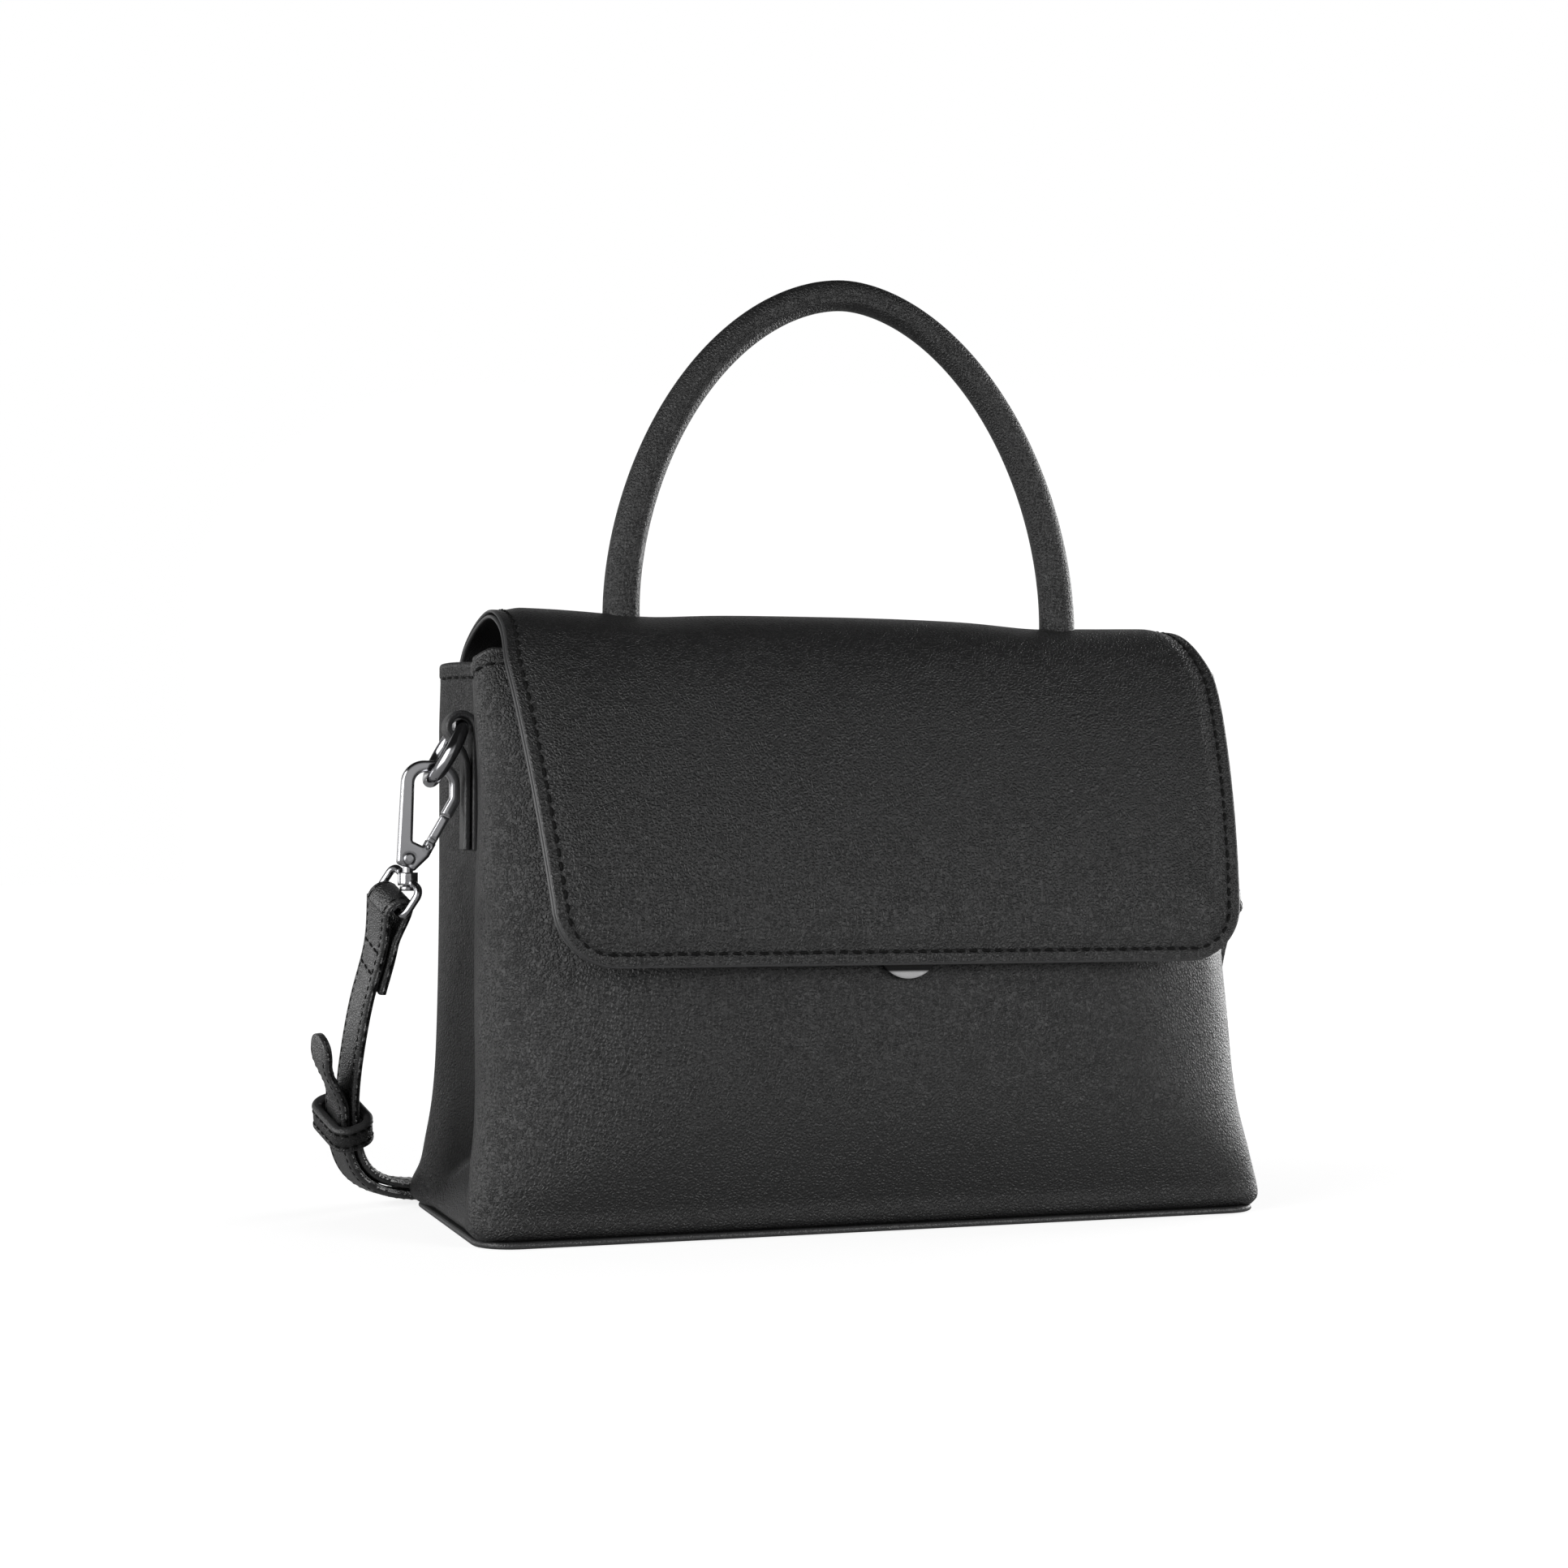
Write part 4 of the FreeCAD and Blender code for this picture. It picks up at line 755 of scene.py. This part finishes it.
def buildFlap():
    # the outer ply runs on from the flap's own line down the back panel
    line = flapLine()
    stripZ = np.linspace(flap["stripLow"], flap["stripHigh"], 60)
    strip = np.stack([backDepth(0 * stripZ, stripZ) + flap["stripStand"], stripZ], 1)
    whole = np.concatenate([strip, np.linspace(strip[-1], line[0], 8)[1:-1], line])
    pick = np.unique(np.r_[0:len(whole):9, len(whole) - 1])
    knots = pathLength(whole)[pick]
    whole = splineThrough(knots, whole[pick], np.linspace(0, knots[-1], 1200))
    corner, border, ply = flap["corner"], flap["border"], flap["ply"]
    s, x, y, z, normal, d = sheetGrid(whole, flapWide, corner, 150)
    mid = flapPlace(x, y, z)
    ripple = 0.45 * np.sin(x / 26 + 1.0) * smooth((z - 150) / 40) + 0.35 * np.sin(x / 41 - 0.6) * np.sin(z / 31)
    lift = flap["pillow"] * smooth((d - border) / 6.0) - flap["sunk"] - flap["groove"] * bell((d - border) / 0.5)
    lift = lift + ripple * smooth((d - border) / 25)
    full = roundEdge(d, flap["edgeRound"])
    face = mid + normal * (lift * full - ply * 0.6 * (1 - full))[..., None]
    back = mid - normal * (ply - ply * 0.4 * (1 - full))[..., None]
    # edge paint round the rim, and painted shade in the stitch groove along the border
    rim = smooth((1.0 - d) / 0.6) - 0.5 * smooth((0.65 - np.abs(d - border)) / 0.5) * (d > 2.5)
    piece = addPiece("flapHide", [closeSheet(face, back, rim)], hide)
    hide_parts("flap_outer", "flap_strip")
    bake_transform(piece)

    # stitch line at the border's distance from the sides and the front edge
    total = pathLength(whole)[-1]
    run = np.linspace(7.0, total - corner, 500)
    flank = np.stack([flapWide(*alongPath(whole, whole, run / total).T) - border, run], 1)
    turn = np.linspace(0, np.pi / 2, 40)[1:]
    arc = np.stack([np.cos(turn) - 1, np.sin(turn)], 1) * (corner - border) + [flank[-1, 0], total - corner]
    side = np.concatenate([flank, arc])
    x, at = np.concatenate([side, side[::-1] * [-1, 1]]).T
    up = unit(np.stack([np.interp(at, s, normal[:, 0, c]) for c in range(3)], 1))
    path = flapPlace(x, *alongPath(whole, whole, at / total).T) - up * flap["threadSunk"]
    seam = addPiece("flapThread", [stitches(path, up, flap["thread"])], waxed)
    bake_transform(seam)

    # lining ply: the flap's own line only, a little inside the outer one
    _, x, y, z, normal, d = sheetGrid(line, lambda a, b: overTop(a, b) + flap["liningSpread"], corner, 90)
    mid = np.stack([x, y, z - flapDip(x, z)], -1)
    inside = smooth((d - border) / 10)
    high, low = (edge + (deep - edge) * inside for edge, deep in zip(flap["liningEdge"], flap["lining"]))
    inner = innerPly(mid, normal, high, low, d, flap["liningRound"], flap["liningPaint"])
    piece = addPiece("flapLiningHide", [inner], innerHide)
    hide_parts("flap_lining")
    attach(piece, "flap")
    return line


flapPath = buildFlap()
print("flap made")

handle = {
    "half": 75.8, "rise": 106.5, "floor": 193.0, "depth": -8.5, "power": 1.85, "footRadius": 5.95, "topRadius": 5.0,
    "sunk": 2.6,
    # ridge in front and sewn seam behind: height, angle round the handle, spread
    "relief": [(0.22, 0.62, 0.16), (-0.22, 0.30, 0.10), (-0.30, 3.75, 0.05), (0.18, 3.95, 0.13)],
    "seamAngle": 4.05, "seamStand": 0.02, "thread": dict(thread, pitch=3.6, thick=0.6, stand=0.05),
}


def buildHandle():
    # arch as a power curve; the section is a circle with a soft ridge in front and a seam groove behind
    turn = np.linspace(0, np.pi, 3000)
    power = 2 / handle["power"]
    x = -np.copysign(handle["half"] * np.abs(np.cos(turn)) ** power, np.cos(turn))
    z = handle["floor"] + handle["rise"] * np.maximum(np.sin(turn), 0) ** power
    path = np.stack([x, np.full_like(x, handle["depth"]), z], 1)
    foot = np.array([[-handle["half"], handle["depth"], handle["floor"] - handle["sunk"]]])
    path = np.concatenate([foot, path, foot * [-1, 1, 1]])
    shares = dense(220, 0.35)
    points = alongPath(path, path, shares)
    across, through = flatFrame(points)
    radius = handle["footRadius"] + (handle["topRadius"] - handle["footRadius"]) * np.sin(np.pi * shares)

    def spokes(angle):  # round the path, from the front
        return np.sin(angle)[:, None, None] * through[None] - np.cos(angle)[:, None, None] * across[None]

    sides = 96
    around = (np.arange(sides) + 0.5) * 2 * np.pi / sides
    relief = sum(high * bell((around - at) / spread) for high, at, spread in handle["relief"])
    shape = points[None] + spokes(around) * (radius[None] + relief[:, None])[..., None]
    piece = addPiece("handleHide", [tube(shape)], hide)
    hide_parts("handle_cover")
    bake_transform(piece)
    up = spokes(np.array([handle["seamAngle"]]))[0]
    seam = points + up * (radius + handle["seamStand"])[:, None]
    made = addPiece("handleThread", [stitches(seam[8:-8], up[8:-8], handle["thread"])], waxed)
    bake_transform(made)


buildHandle()

footPatch = {"halfWide": 17.0, "reach": 12.0, "at": (75.8, -8.5), "depths": (4.2, 5.6), "corner": 4.0,
             "edgeRound": 0.6, "paint": (0.9, 0.5)}


def buildPatches():
    # patch under the flap that holds each foot of the handle
    length = pathLength(flapPath)
    centre = float(np.interp(-footPatch["at"][1], -flapPath[:, 0], length))
    pick = np.linspace(centre - footPatch["reach"], centre + footPatch["reach"], 200)
    line = alongPath(flapPath, flapPath, pick / length[-1])
    wide = footPatch["halfWide"]
    _, x, y, z, normal, d = sheetGrid(line, lambda a, b: np.full_like(b, wide), footPatch["corner"], 30)
    for name, side in (("left", -1), ("right", 1)):
        placed = x + side * footPatch["at"][0]
        mid = np.stack([placed, y, z - flapDip(placed, z)], -1)
        inner = innerPly(mid, normal, *footPatch["depths"], d, footPatch["edgeRound"], footPatch["paint"])
        piece = addPiece("handlePatch_" + name, [inner], innerHide)
        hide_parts("handle_tail_" + name)
        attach(piece, "flap")


buildPatches()
print("handle made")

tab = {"width": 8.5, "thick": 2.3, "low": 117.0, "seat": -120.192, "loop": (-125.592, 155.6), "hole": 3.0,
       "wrap": 215.0, "join": 13.5, "gap": 0.05, "paint": 0.6, "seamHalf": 2.9, "thread": dict(thread, pitch=3.8)}


def buildTabs():
    # strip up the side, round the ring, and back down on itself through a cubic curve
    half, gap = tab["thick"] / 2, tab["gap"]
    cx, cz = tab["loop"]
    radius = tab["hole"] + half + gap
    turn = np.linspace(0, np.radians(tab["wrap"]), 60)
    arc = np.stack([cx + radius * np.cos(turn), cz + radius * np.sin(turn)], 1)
    inX, outX = tab["seat"] - half - gap, tab["seat"] - 3 * half - 5 * gap
    rise = np.linspace([inX, tab["low"]], [inX, cz], 40)
    end = np.linspace([outX, cz - tab["join"]], [outX, tab["low"] + 0.2], 30)
    lead = unit(np.diff(arc[-2:], axis=0))[0]
    reach = np.linalg.norm(end[0] - arc[-1])
    a, b = arc[-1] + lead * reach * 0.33, end[0] + [0, reach * 0.45]
    e = np.linspace(0, 1, 30)[1:-1, None]
    link = (1 - e) ** 3 * arc[-1] + 3 * (1 - e) ** 2 * e * a + 3 * (1 - e) * e ** 2 * b + e ** 3 * end[0]
    flat = np.concatenate([rise[:-1], arc, link, end])
    x, z = alongPath(flat, flat, np.linspace(0, 1, 150)).T
    points = np.stack([x, 0 * x, z], 1)
    across, through = flatFrame(points)
    section = bandSection(tab["width"], tab["thick"], 4.5, 26)
    rim = edgePaint(section, tab["width"], 0.9, 0.5, len(points)) * tab["paint"]
    shape = sweep(points, across, through, section)
    outside = slice(146, 117, -1)  # stations of the outer layer, from its end up
    for name, side in (("left", 1), ("right", -1)):
        flip = [side, 1, 1]
        piece = addPiece("tabHide_" + name, [tube(shape * flip, rim)], strapHide)
        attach(piece, "bag")
        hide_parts("tab_" + name)
        runs = []
        for y in (-tab["seamHalf"], tab["seamHalf"]):
            row = (points - through * (half + gap) + across * y) * flip
            runs.append(stitches(row[outside], (-through * flip)[outside], tab["thread"]))
        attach(addPiece("tabThread_" + name, runs, waxed), "bag")


buildTabs()
print("tabs made")

strap = {
    "width": 13.0, "thick": 3.2, "layer": 3.5, "bar": (-146.668, 2.946, 100.2905), "swing": 11.0, "back": 63.4,
    "hole": 2.15, "turn": (-0.25, 0.968, 0.0), "lap": 30.0, "lapShare": 0.45,
    "tip": 0.37, "tipFlare": 7.0, "keeper": 0.556, "keeperLong": 7.6,
    # route from the eye: shares of the swing outwards, the way back and the fall; the right side hangs straighter
    "route": [(0.30, 0.104, 0.127), (0.52, 0.227, 0.287), (0.68, 0.353, 0.452), (0.73, 0.487, 0.621),
              (0.55, 0.645, 0.792), (0.05, 0.779, 0.912), (-0.82, 0.890, 0.972), (-1.98, 0.975, 0.995),
              (-3.28, 1.000, 1.000)],
    "rightSway": 0.2, "rightHole": 1.4,
    # folds behind the bag
    "leftReach": 70.0, "rightReach": 100.0, "turnHigh": 8.4, "ramp": 28.0, "shoulder": 26.0, "ease": 20.0, "entry": 6.0,
    # buckle, the tongue through it, and the thinned end round its heel bar
    "heel": 105.5, "buckleLong": 15.5, "buckleHigh": 7.0, "tongueIn": 1.0, "tongueLift": 4.1, "tongueEase": 8.0,
    "wrapRadius": 2.25, "wrapThin": 0.5,
    # stitch groove, edge paint, stitches along both edges, and two rows across that hold the fold under the eye
    "groove": 0.2, "seamIn": 1.6, "seamSunk": 0.42, "paint": 0.25,
    "thread": dict(thread, pitch=3.1, thick=0.6, reach=0.84),
    "holdAt": (21, 32), "holdIn": 1.5, "holdThread": dict(thread, pitch=3.4, thick=0.8, reach=0.86),
}
strapSection = bandSection(strap["width"], strap["thick"], 5.0, 30, strap["groove"], strap["seamIn"])


def strapTurn(along):
    # the strap's width lies along one fixed direction, less the part of it that runs along the strap
    turn = unit(np.array(strap["turn"]))
    across = unit(turn - along * (along @ turn)[:, None])
    return across, np.cross(along, across)


def hangingLine(floor, mirror=False):
    # spline from beside the eye's bar down to the floor behind the bag, turning to lie flat at its end
    hole, sway = (strap["rightHole"], strap["rightSway"]) if mirror else (strap["hole"], 1.0)
    bar = np.array(strap["bar"])
    upper = strap["thick"] / 2 + strap["layer"]
    shares = np.array(strap["route"])
    shares[:, 0] = np.where(shares[:, 0] > 0, shares[:, 0] * sway, shares[:, 0])
    start = unit(shares[:1] * [-strap["swing"], strap["back"], upper - bar[2]])
    begin = bar - strapTurn(start)[1] * (hole + strap["thick"] / 2)
    knots = np.concatenate([begin, bar + shares * [-strap["swing"], strap["back"], floor - bar[2]]])
    at = pathLength(knots)
    fine = splineThrough(at / at[-1], knots, np.linspace(0, 1, 1500))
    stations = np.linspace(0, 1, 200)
    points = alongPath(fine, fine, stations)
    ending = smooth((stations - 0.93) / 0.07)[:, None]
    along = unit(unit(np.gradient(points, axis=0)) * (1 - ending) + ending * [1.0, 0, 0])
    return points, along, *strapTurn(along)


def softCorners(corners):
    # (x, z, radius) corners of a flat route: straight runs with tangent arcs
    c = np.array(corners, float)
    runs = [c[:1, :2]]
    t = np.linspace(0, 1, 24)[:, None]
    for before, here, after, radius in zip(c[:-2, :2], c[1:-1, :2], c[2:, :2], c[1:-1, 2]):
        u, v = unit(before - here), unit(after - here)
        half = np.arccos(np.clip(u @ v, -1, 1)) / 2
        middle = here + unit(u + v) * radius / np.sin(half)
        a, b = (here + w * radius / np.tan(half) - middle for w in (u, v))
        angle = np.pi - 2 * half
        runs.append(middle + (a * np.sin((1 - t) * angle) + b * np.sin(t * angle)) / np.sin(angle))
    return np.concatenate(runs + [c[-1:, :2]])


def foldedLine(endX, lane):
    # from the right corner to the left one: two turns, then down through the buckle
    layer, left, right, high = strap["layer"], strap["leftReach"], strap["rightReach"], strap["turnHigh"]
    ease, ramp, tongueEase, bend = strap["ease"], strap["ramp"], strap["tongueEase"], high / 2
    low = strap["thick"] / 2
    second, third = low + layer, low + 2 * layer
    leftTop, rightTop, crossing = low + high, second + high, low + high + layer
    leftStep, rightStep = strap["shoulder"] - left, right - strap["shoulder"]
    leave = strap["tongueIn"] - strap["heel"]
    corners = [(endX, low, 0), (-left, low, bend), (-left, leftTop, bend), (leftStep, leftTop, ease),
               (leftStep + ramp, second, ease), (right, second, bend), (right, rightTop, bend),
               (rightStep, rightTop, ease), (rightStep - ramp, third, ease), (leftStep + ramp, third, ease),
               (leftStep, crossing, ease), (-left - strap["entry"], crossing, ease),
               (leave + strap["buckleLong"], strap["buckleHigh"] + strap["tongueLift"], tongueEase),
               (leave, low, tongueEase), (-endX, low, 0)]
    flat = softCorners(corners)
    x, z = alongPath(flat, flat, np.linspace(0, 1, int(pathLength(flat)[-1] / 1.6))).T
    points = np.stack([x, np.full(len(x), lane), z], 1)
    return points, *flatFrame(points)


def strapRun(points, across, through, scale=(1.0, 1.0)):
    # one stretch of strap: its section, scaled in width and thickness at each station, carried along the line
    section = strapSection[:, None] * np.broadcast_to(scale, (len(points), 2))[None]
    shape = points[None] + section[..., :1] * across[None] + section[..., 1:] * through[None]
    return tube(shape, edgePaint(strapSection, strap["width"], 0.9, 0.6, len(points)) * strap["paint"])


def strapSeams(line, across, through, lapCount, stop):
    # stitches along both edges: on the outer face from the sewn end on, on the inner one from below the fold
    runs = []
    for face, first in ((-1, 4), (1, lapCount + 30)):
        keep = slice(first, stop)
        lift = through[keep] * face
        for side in (-1, 1):
            row = line[keep] + across[keep] * side * (strap["width"] / 2 - strap["seamIn"])
            runs.append(stitches(row + lift * (strap["thick"] / 2 - strap["seamSunk"]), lift, strap["thread"]))
    return runs


def eyeFold(floor, mirror):
    # strap from its sewn end over the eye's bar and down to the floor, as one line
    hole, thick = strap["rightHole" if mirror else "hole"], strap["thick"]
    points, along, across, through = hangingLine(floor, mirror)
    length = pathLength(points)
    lap = length < strap["lap"]
    openStep = 2 * hole + thick
    gap = openStep + (strap["layer"] - openStep) * smooth(length[lap] / strap["lap"] / strap["lapShare"])
    lapPoints = points[lap] + through[lap] * gap[:, None]
    turn = np.linspace(0, np.pi, 28)[1:-1, None]
    spoke = np.cos(turn) * through[0] - np.sin(turn) * along[0]
    arc = np.array(strap["bar"]) + spoke * (hole + thick / 2)
    flip = [-1, 1, 1] if mirror else [1, 1, 1]
    line = np.concatenate([lapPoints[::-1], arc, points]) * flip
    cross = np.concatenate([across[lap][::-1], np.repeat(across[:1], len(arc), 0), across]) * flip
    turned = np.concatenate([-through[lap][::-1], -spoke, through]) * flip
    return line, cross, turned, len(lapPoints) + len(arc)


def buildStrap():
    width, thick, layer = strap["width"], strap["thick"], strap["layer"]
    low, upper = thick / 2, thick / 2 + layer

    # short part: eye, hanging run, and the thinned end round the buckle's heel bar
    line, cross, through, lapCount = eyeFold(upper, False)
    end, radius = line[-1], strap["wrapRadius"]
    heel = np.array([-strap["heel"], end[1], strap["buckleHigh"]])
    under, over = heel - [0, 0, radius], heel + [0, 0, radius]
    turn = np.linspace(-np.pi / 2, np.pi / 2, 20)[1:]
    wrap = heel + np.stack([np.cos(turn), 0 * turn, np.sin(turn)], 1) * radius
    chape = np.concatenate([np.linspace(end, under, 14)[1:], wrap, np.linspace(over, end + [4.0, 0, 2.2], 14)[1:]])
    parts = [strapRun(line, cross, through), strapRun(chape, *flatFrame(chape), (1.0, strap["wrapThin"]))]
    piece = addPiece("strapShortHide", parts, strapPaintedSheen)
    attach(piece, "bag")
    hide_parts("strap_short")
    runs = strapSeams(line, cross, through, lapCount, -2)
    for station in (lapCount + k for k in strap["holdAt"]):
        reach = np.linspace(-0.5, 0.5, 9)[:, None] * (width - 2 * strap["holdIn"])
        row = line[station] + cross[station] * reach - through[station] * (thick / 2 - 0.1)
        runs.append(stitches(row, np.repeat(-through[station][None], 9, 0), strap["holdThread"]))

    # long part: far eye, folds behind the bag, through the buckle, and the free tail up to its round tip
    farLine, farCross, farThrough, farLap = eyeFold(low, True)
    folds, foldCross, foldThrough = foldedLine(farLine[-1, 0], farLine[-1, 1])
    hang, hangAlong, hangCross, hangThrough = hangingLine(upper)
    shares = np.linspace(0, 1, len(hang))
    flareFrom = strap["keeper"] - strap["keeperLong"] / pathLength(hang)[-1]
    flare = strap["tipFlare"] * smooth((flareFrom - shares) / (flareFrom - strap["tip"]))
    keep = shares >= strap["tip"]
    tail = (hang - hangThrough * (layer + flare)[:, None])[keep][::-1]
    tailCross, tailThrough = hangCross[keep][::-1], hangThrough[keep][::-1]
    reach = np.linspace(0, 1, 16)[1:]
    tip = tail[-1] + unit(tail[-1] - tail[-3]) * (reach * width / 2)[:, None]
    whole = np.concatenate([farLine, folds[1:], tail[1:], tip])
    cross = np.concatenate([farCross, foldCross[1:], tailCross[1:], np.repeat(tailCross[-1:], len(tip), 0)])
    through = np.concatenate([farThrough, foldThrough[1:], tailThrough[1:], np.repeat(tailThrough[-1:], len(tip), 0)])
    stop = len(whole) - len(tip)
    taper = np.concatenate([np.ones(stop), np.sqrt(np.maximum(1 - reach ** 2, 0.01))])
    scale = np.stack([taper, 0.5 + 0.5 * np.minimum(taper * 1.4, 1)], 1)
    piece = addPiece("strapLongHide", [strapRun(whole, cross, through, scale)], strapPaintedSheen)
    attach(piece, "bag")
    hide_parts("strap_long")
    runs += strapSeams(whole, cross, through, farLap, stop)
    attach(addPiece("strapThread", runs, waxed), "bag")
    return hang, hangAlong, hangCross, hangThrough


hangingStrap = buildStrap()

keeper = {"gap": (1.9, 1.2), "wall": 2.6, "long": 9.4, "roll": 0.45, "corner": 4.3, "groove": 0.2, "seamIn": 2.3,
          "seamSunk": 0.15, "paint": 0.6, "thread": dict(thread, pitch=3.0, thick=0.6)}


def buildKeeper():
    # loop of leather round both layers: a rounded band carried round a rounded rectangle
    at = int(round(strap["keeper"] * (len(hangingStrap[0]) - 1)))
    point, along, across, through = (values[at] for values in hangingStrap)
    middle = point - through * strap["layer"] / 2
    half, long = keeper["wall"] / 2, keeper["long"]
    wide = strap["width"] / 2 + keeper["gap"][0] + half
    deep = (strap["thick"] + strap["layer"]) / 2 + keeper["gap"][1] + half
    route = rimPath(wide, deep, keeper["corner"], keeper["corner"], 120)
    path = middle + route[:, :1] * across + route[:, 1:] * through
    lengthwise = np.broadcast_to(along, path.shape)
    out = np.cross(unit(np.roll(path, -1, 0) - np.roll(path, 1, 0)), lengthwise)
    out = out * np.sign(np.sum(out[0] * (path[0] - middle)))
    section = bandSection(long, keeper["wall"], 3.2, 34, keeper["groove"], keeper["seamIn"])
    rolled = bell((np.abs(section[:, 0]) - (long / 2 - 0.9)) / 0.7)
    section[:, 1] = section[:, 1] * (1 + keeper["roll"] * rolled)
    rim = edgePaint(section, long, 1.5, 0.5, len(path)) * keeper["paint"]
    piece = addPiece("keeperHide", [tube(sweep(path, lengthwise, out, section), rim, ring=True)], strapHide)
    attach(piece, "keeper")
    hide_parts("strap_keeper")
    runs = []
    for side in (-1, 1):
        row = path + lengthwise * side * (long / 2 - keeper["seamIn"]) + out * (half - keeper["seamSunk"])
        runs.append(stitches(np.concatenate([row, row[:1]]), np.concatenate([out, out[:1]]), keeper["thread"]))
    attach(addPiece("keeperThread", runs, waxed), "keeper")


buildKeeper()
print("strap made")

# metal and inner pieces keep their CAD shapes
metalPairs = ["ring", "hook", "gate", "gate_pin", "swivel_post", "swivel_eye"]
nodeFinish = {
    nickel: [name + side for name in metalPairs for side in ("_left", "_right")] + ["buckle_frame", "buckle_prong"],
    chrome: ["lock_disc"], magnetFinish: ["lock_magnet", "flap_magnet"], boardFinish: ["base_board", "flap_core"],
    ropeFinish: ["handle_core"],
}
for finish, names in nodeFinish.items():
    for name in names:
        nodes[name].data.materials.clear()
        nodes[name].data.materials.append(finish)
print("metal dressed")

studio = {
    "focal": 3020.0, "imageWide": 1932.0, "eye": (-0.27566, -0.75942, 0.11191), "yaw": 0.3267, "pitch": 0.0339,
    # lamps that look at one point of the bag: place, side, power
    "target": (0, 0, 0.1),
    "lamps": {"keyLeft": ((-1.15, -0.42, 0.35), 1.1, 15.0), "fillFront": ((0.95, -1.35, 0.42), 0.6, 11.0),
              "edgeRight": ((1.15, 0.45, 0.30), 0.8, 12.0), "edgeLeft": ((-0.86, 0.78, 0.12), 0.4, 1.8)},
    # walls at the left, in front and behind: a ramp along one axis (from, to, levels) times one along another
    "walls": [(("X", -0.95, -0.45, 1.1, 0.0), ("Y", -0.2, 0.3, 1.0, 0.15)),
              (("Y", -0.7, 0.0, 0.50, 0.0), ("X", 0.1, 0.6, 0.75, 1.4)),
              (("Y", -0.1, 0.5, 0.0, 0.80), ("X", -0.35, 0.2, 0.1, 1.0))],
    "base": 0.26, "ceiling": ("Z", 0.10, 0.66, 1.0, 0.0), "above": 0.02,
    # floor: tone, glow from near the bag to far away, share of it in reflections, radius and height of the disc
    "floorTone": 0.36, "floorGlow": (0.25, 1.0, 0.82, 1.0), "floorMirror": 0.15, "floorRadius": 14.0,
    "floorLow": -0.0002,
}


def aim(made, place, look):
    made.location = place
    made.rotation_euler = Vector(look).to_track_quat("-Z", "Y").to_euler()


def buildCamera():
    # the photograph's camera: its focal length is in pixels, yaw turns it right and pitch up
    camera = addObject("photoCamera", bpy.data.cameras.new("photoCamera"))
    camera.data.sensor_width = 36.0
    camera.data.lens = camera.data.sensor_width * studio["focal"] / studio["imageWide"]
    camera.data.clip_start = 0.01
    yaw, pitch = studio["yaw"], studio["pitch"]
    aim(camera, studio["eye"], (np.sin(yaw) * np.cos(pitch), np.cos(yaw) * np.cos(pitch), np.sin(pitch)))
    scene.camera = camera


def buildLamps():
    for name, (place, size, power) in studio["lamps"].items():
        lamp = addObject(name, bpy.data.lights.new(name, "AREA"))
        lamp.data.shape = "SQUARE"
        lamp.data.size = size
        lamp.data.energy = power
        aim(lamp, place, Vector(studio["target"]) - Vector(place))


def rayIs(tree, kind):
    return node(tree, "ShaderNodeLightPath", output="Is " + kind + " Ray")


def seenDirectly(tree):
    return calc(tree, "MAXIMUM", rayIs(tree, "Camera"), rayIs(tree, "Transmission"))


def buildWorld():
    # walls of the studio are brighter in front, to the left and behind on the right, and fade to a dark ceiling;
    # the camera itself sees plain white
    world = bpy.data.worlds.new("sweep")
    scene.world = world
    world.use_nodes = True
    tree = world.node_tree
    tree.nodes.clear()
    direction = node(tree, "ShaderNodeTexCoord", output="Generated")

    def ramp(axis, *levels):
        return ranged(tree, node(tree, "ShaderNodeSeparateXYZ", {0: direction}, axis), *levels, kind="SMOOTHSTEP")

    level = studio["base"]
    for wall, fade in studio["walls"]:
        level = calc(tree, "MULTIPLY_ADD", ramp(*wall), ramp(*fade), level)
    level = calc(tree, "MULTIPLY_ADD", level, ramp(*studio["ceiling"]), studio["above"])
    level = calc(tree, "MAXIMUM", level, seenDirectly(tree))
    glow = node(tree, "ShaderNodeBackground", {"Color": rgba(1), "Strength": level})
    fill(tree, tree.nodes.new("ShaderNodeOutputWorld"), {"Surface": glow})


def buildFloor():
    # the floor glows up to the white of the walls away from the bag, and keeps the shadow near it
    made, tree, shader, place = newMaterial("paleFloor")
    mirrored = calc(tree, "MULTIPLY", rayIs(tree, "Glossy"), studio["floorMirror"])
    direct = calc(tree, "MAXIMUM", seenDirectly(tree), mirrored)
    away = node(tree, "ShaderNodeVectorMath", {0: place}, "Value", operation="LENGTH")
    glow = calc(tree, "MULTIPLY", direct, ranged(tree, away, *studio["floorGlow"]))
    fill(tree, shader, {"Base Color": rgba(studio["floorTone"]), "Roughness": 0.9, "Specular IOR Level": 0.0,
                        "Emission Color": rgba(1), "Emission Strength": glow})
    turn = np.linspace(0, 2 * np.pi, 65)[:-1]
    radius = studio["floorRadius"]
    ring = np.stack([np.cos(turn) * radius, np.sin(turn) * radius, np.full(64, studio["floorLow"])], 1)
    mesh = bpy.data.meshes.new("floor")
    mesh.from_pydata(ring, [], [list(range(64))])
    mesh.materials.append(made)
    floor = addObject("floor", mesh)


buildCamera()
buildLamps()
buildWorld()
buildFloor()
scene.view_settings.view_transform = "Standard"
print("studio made")
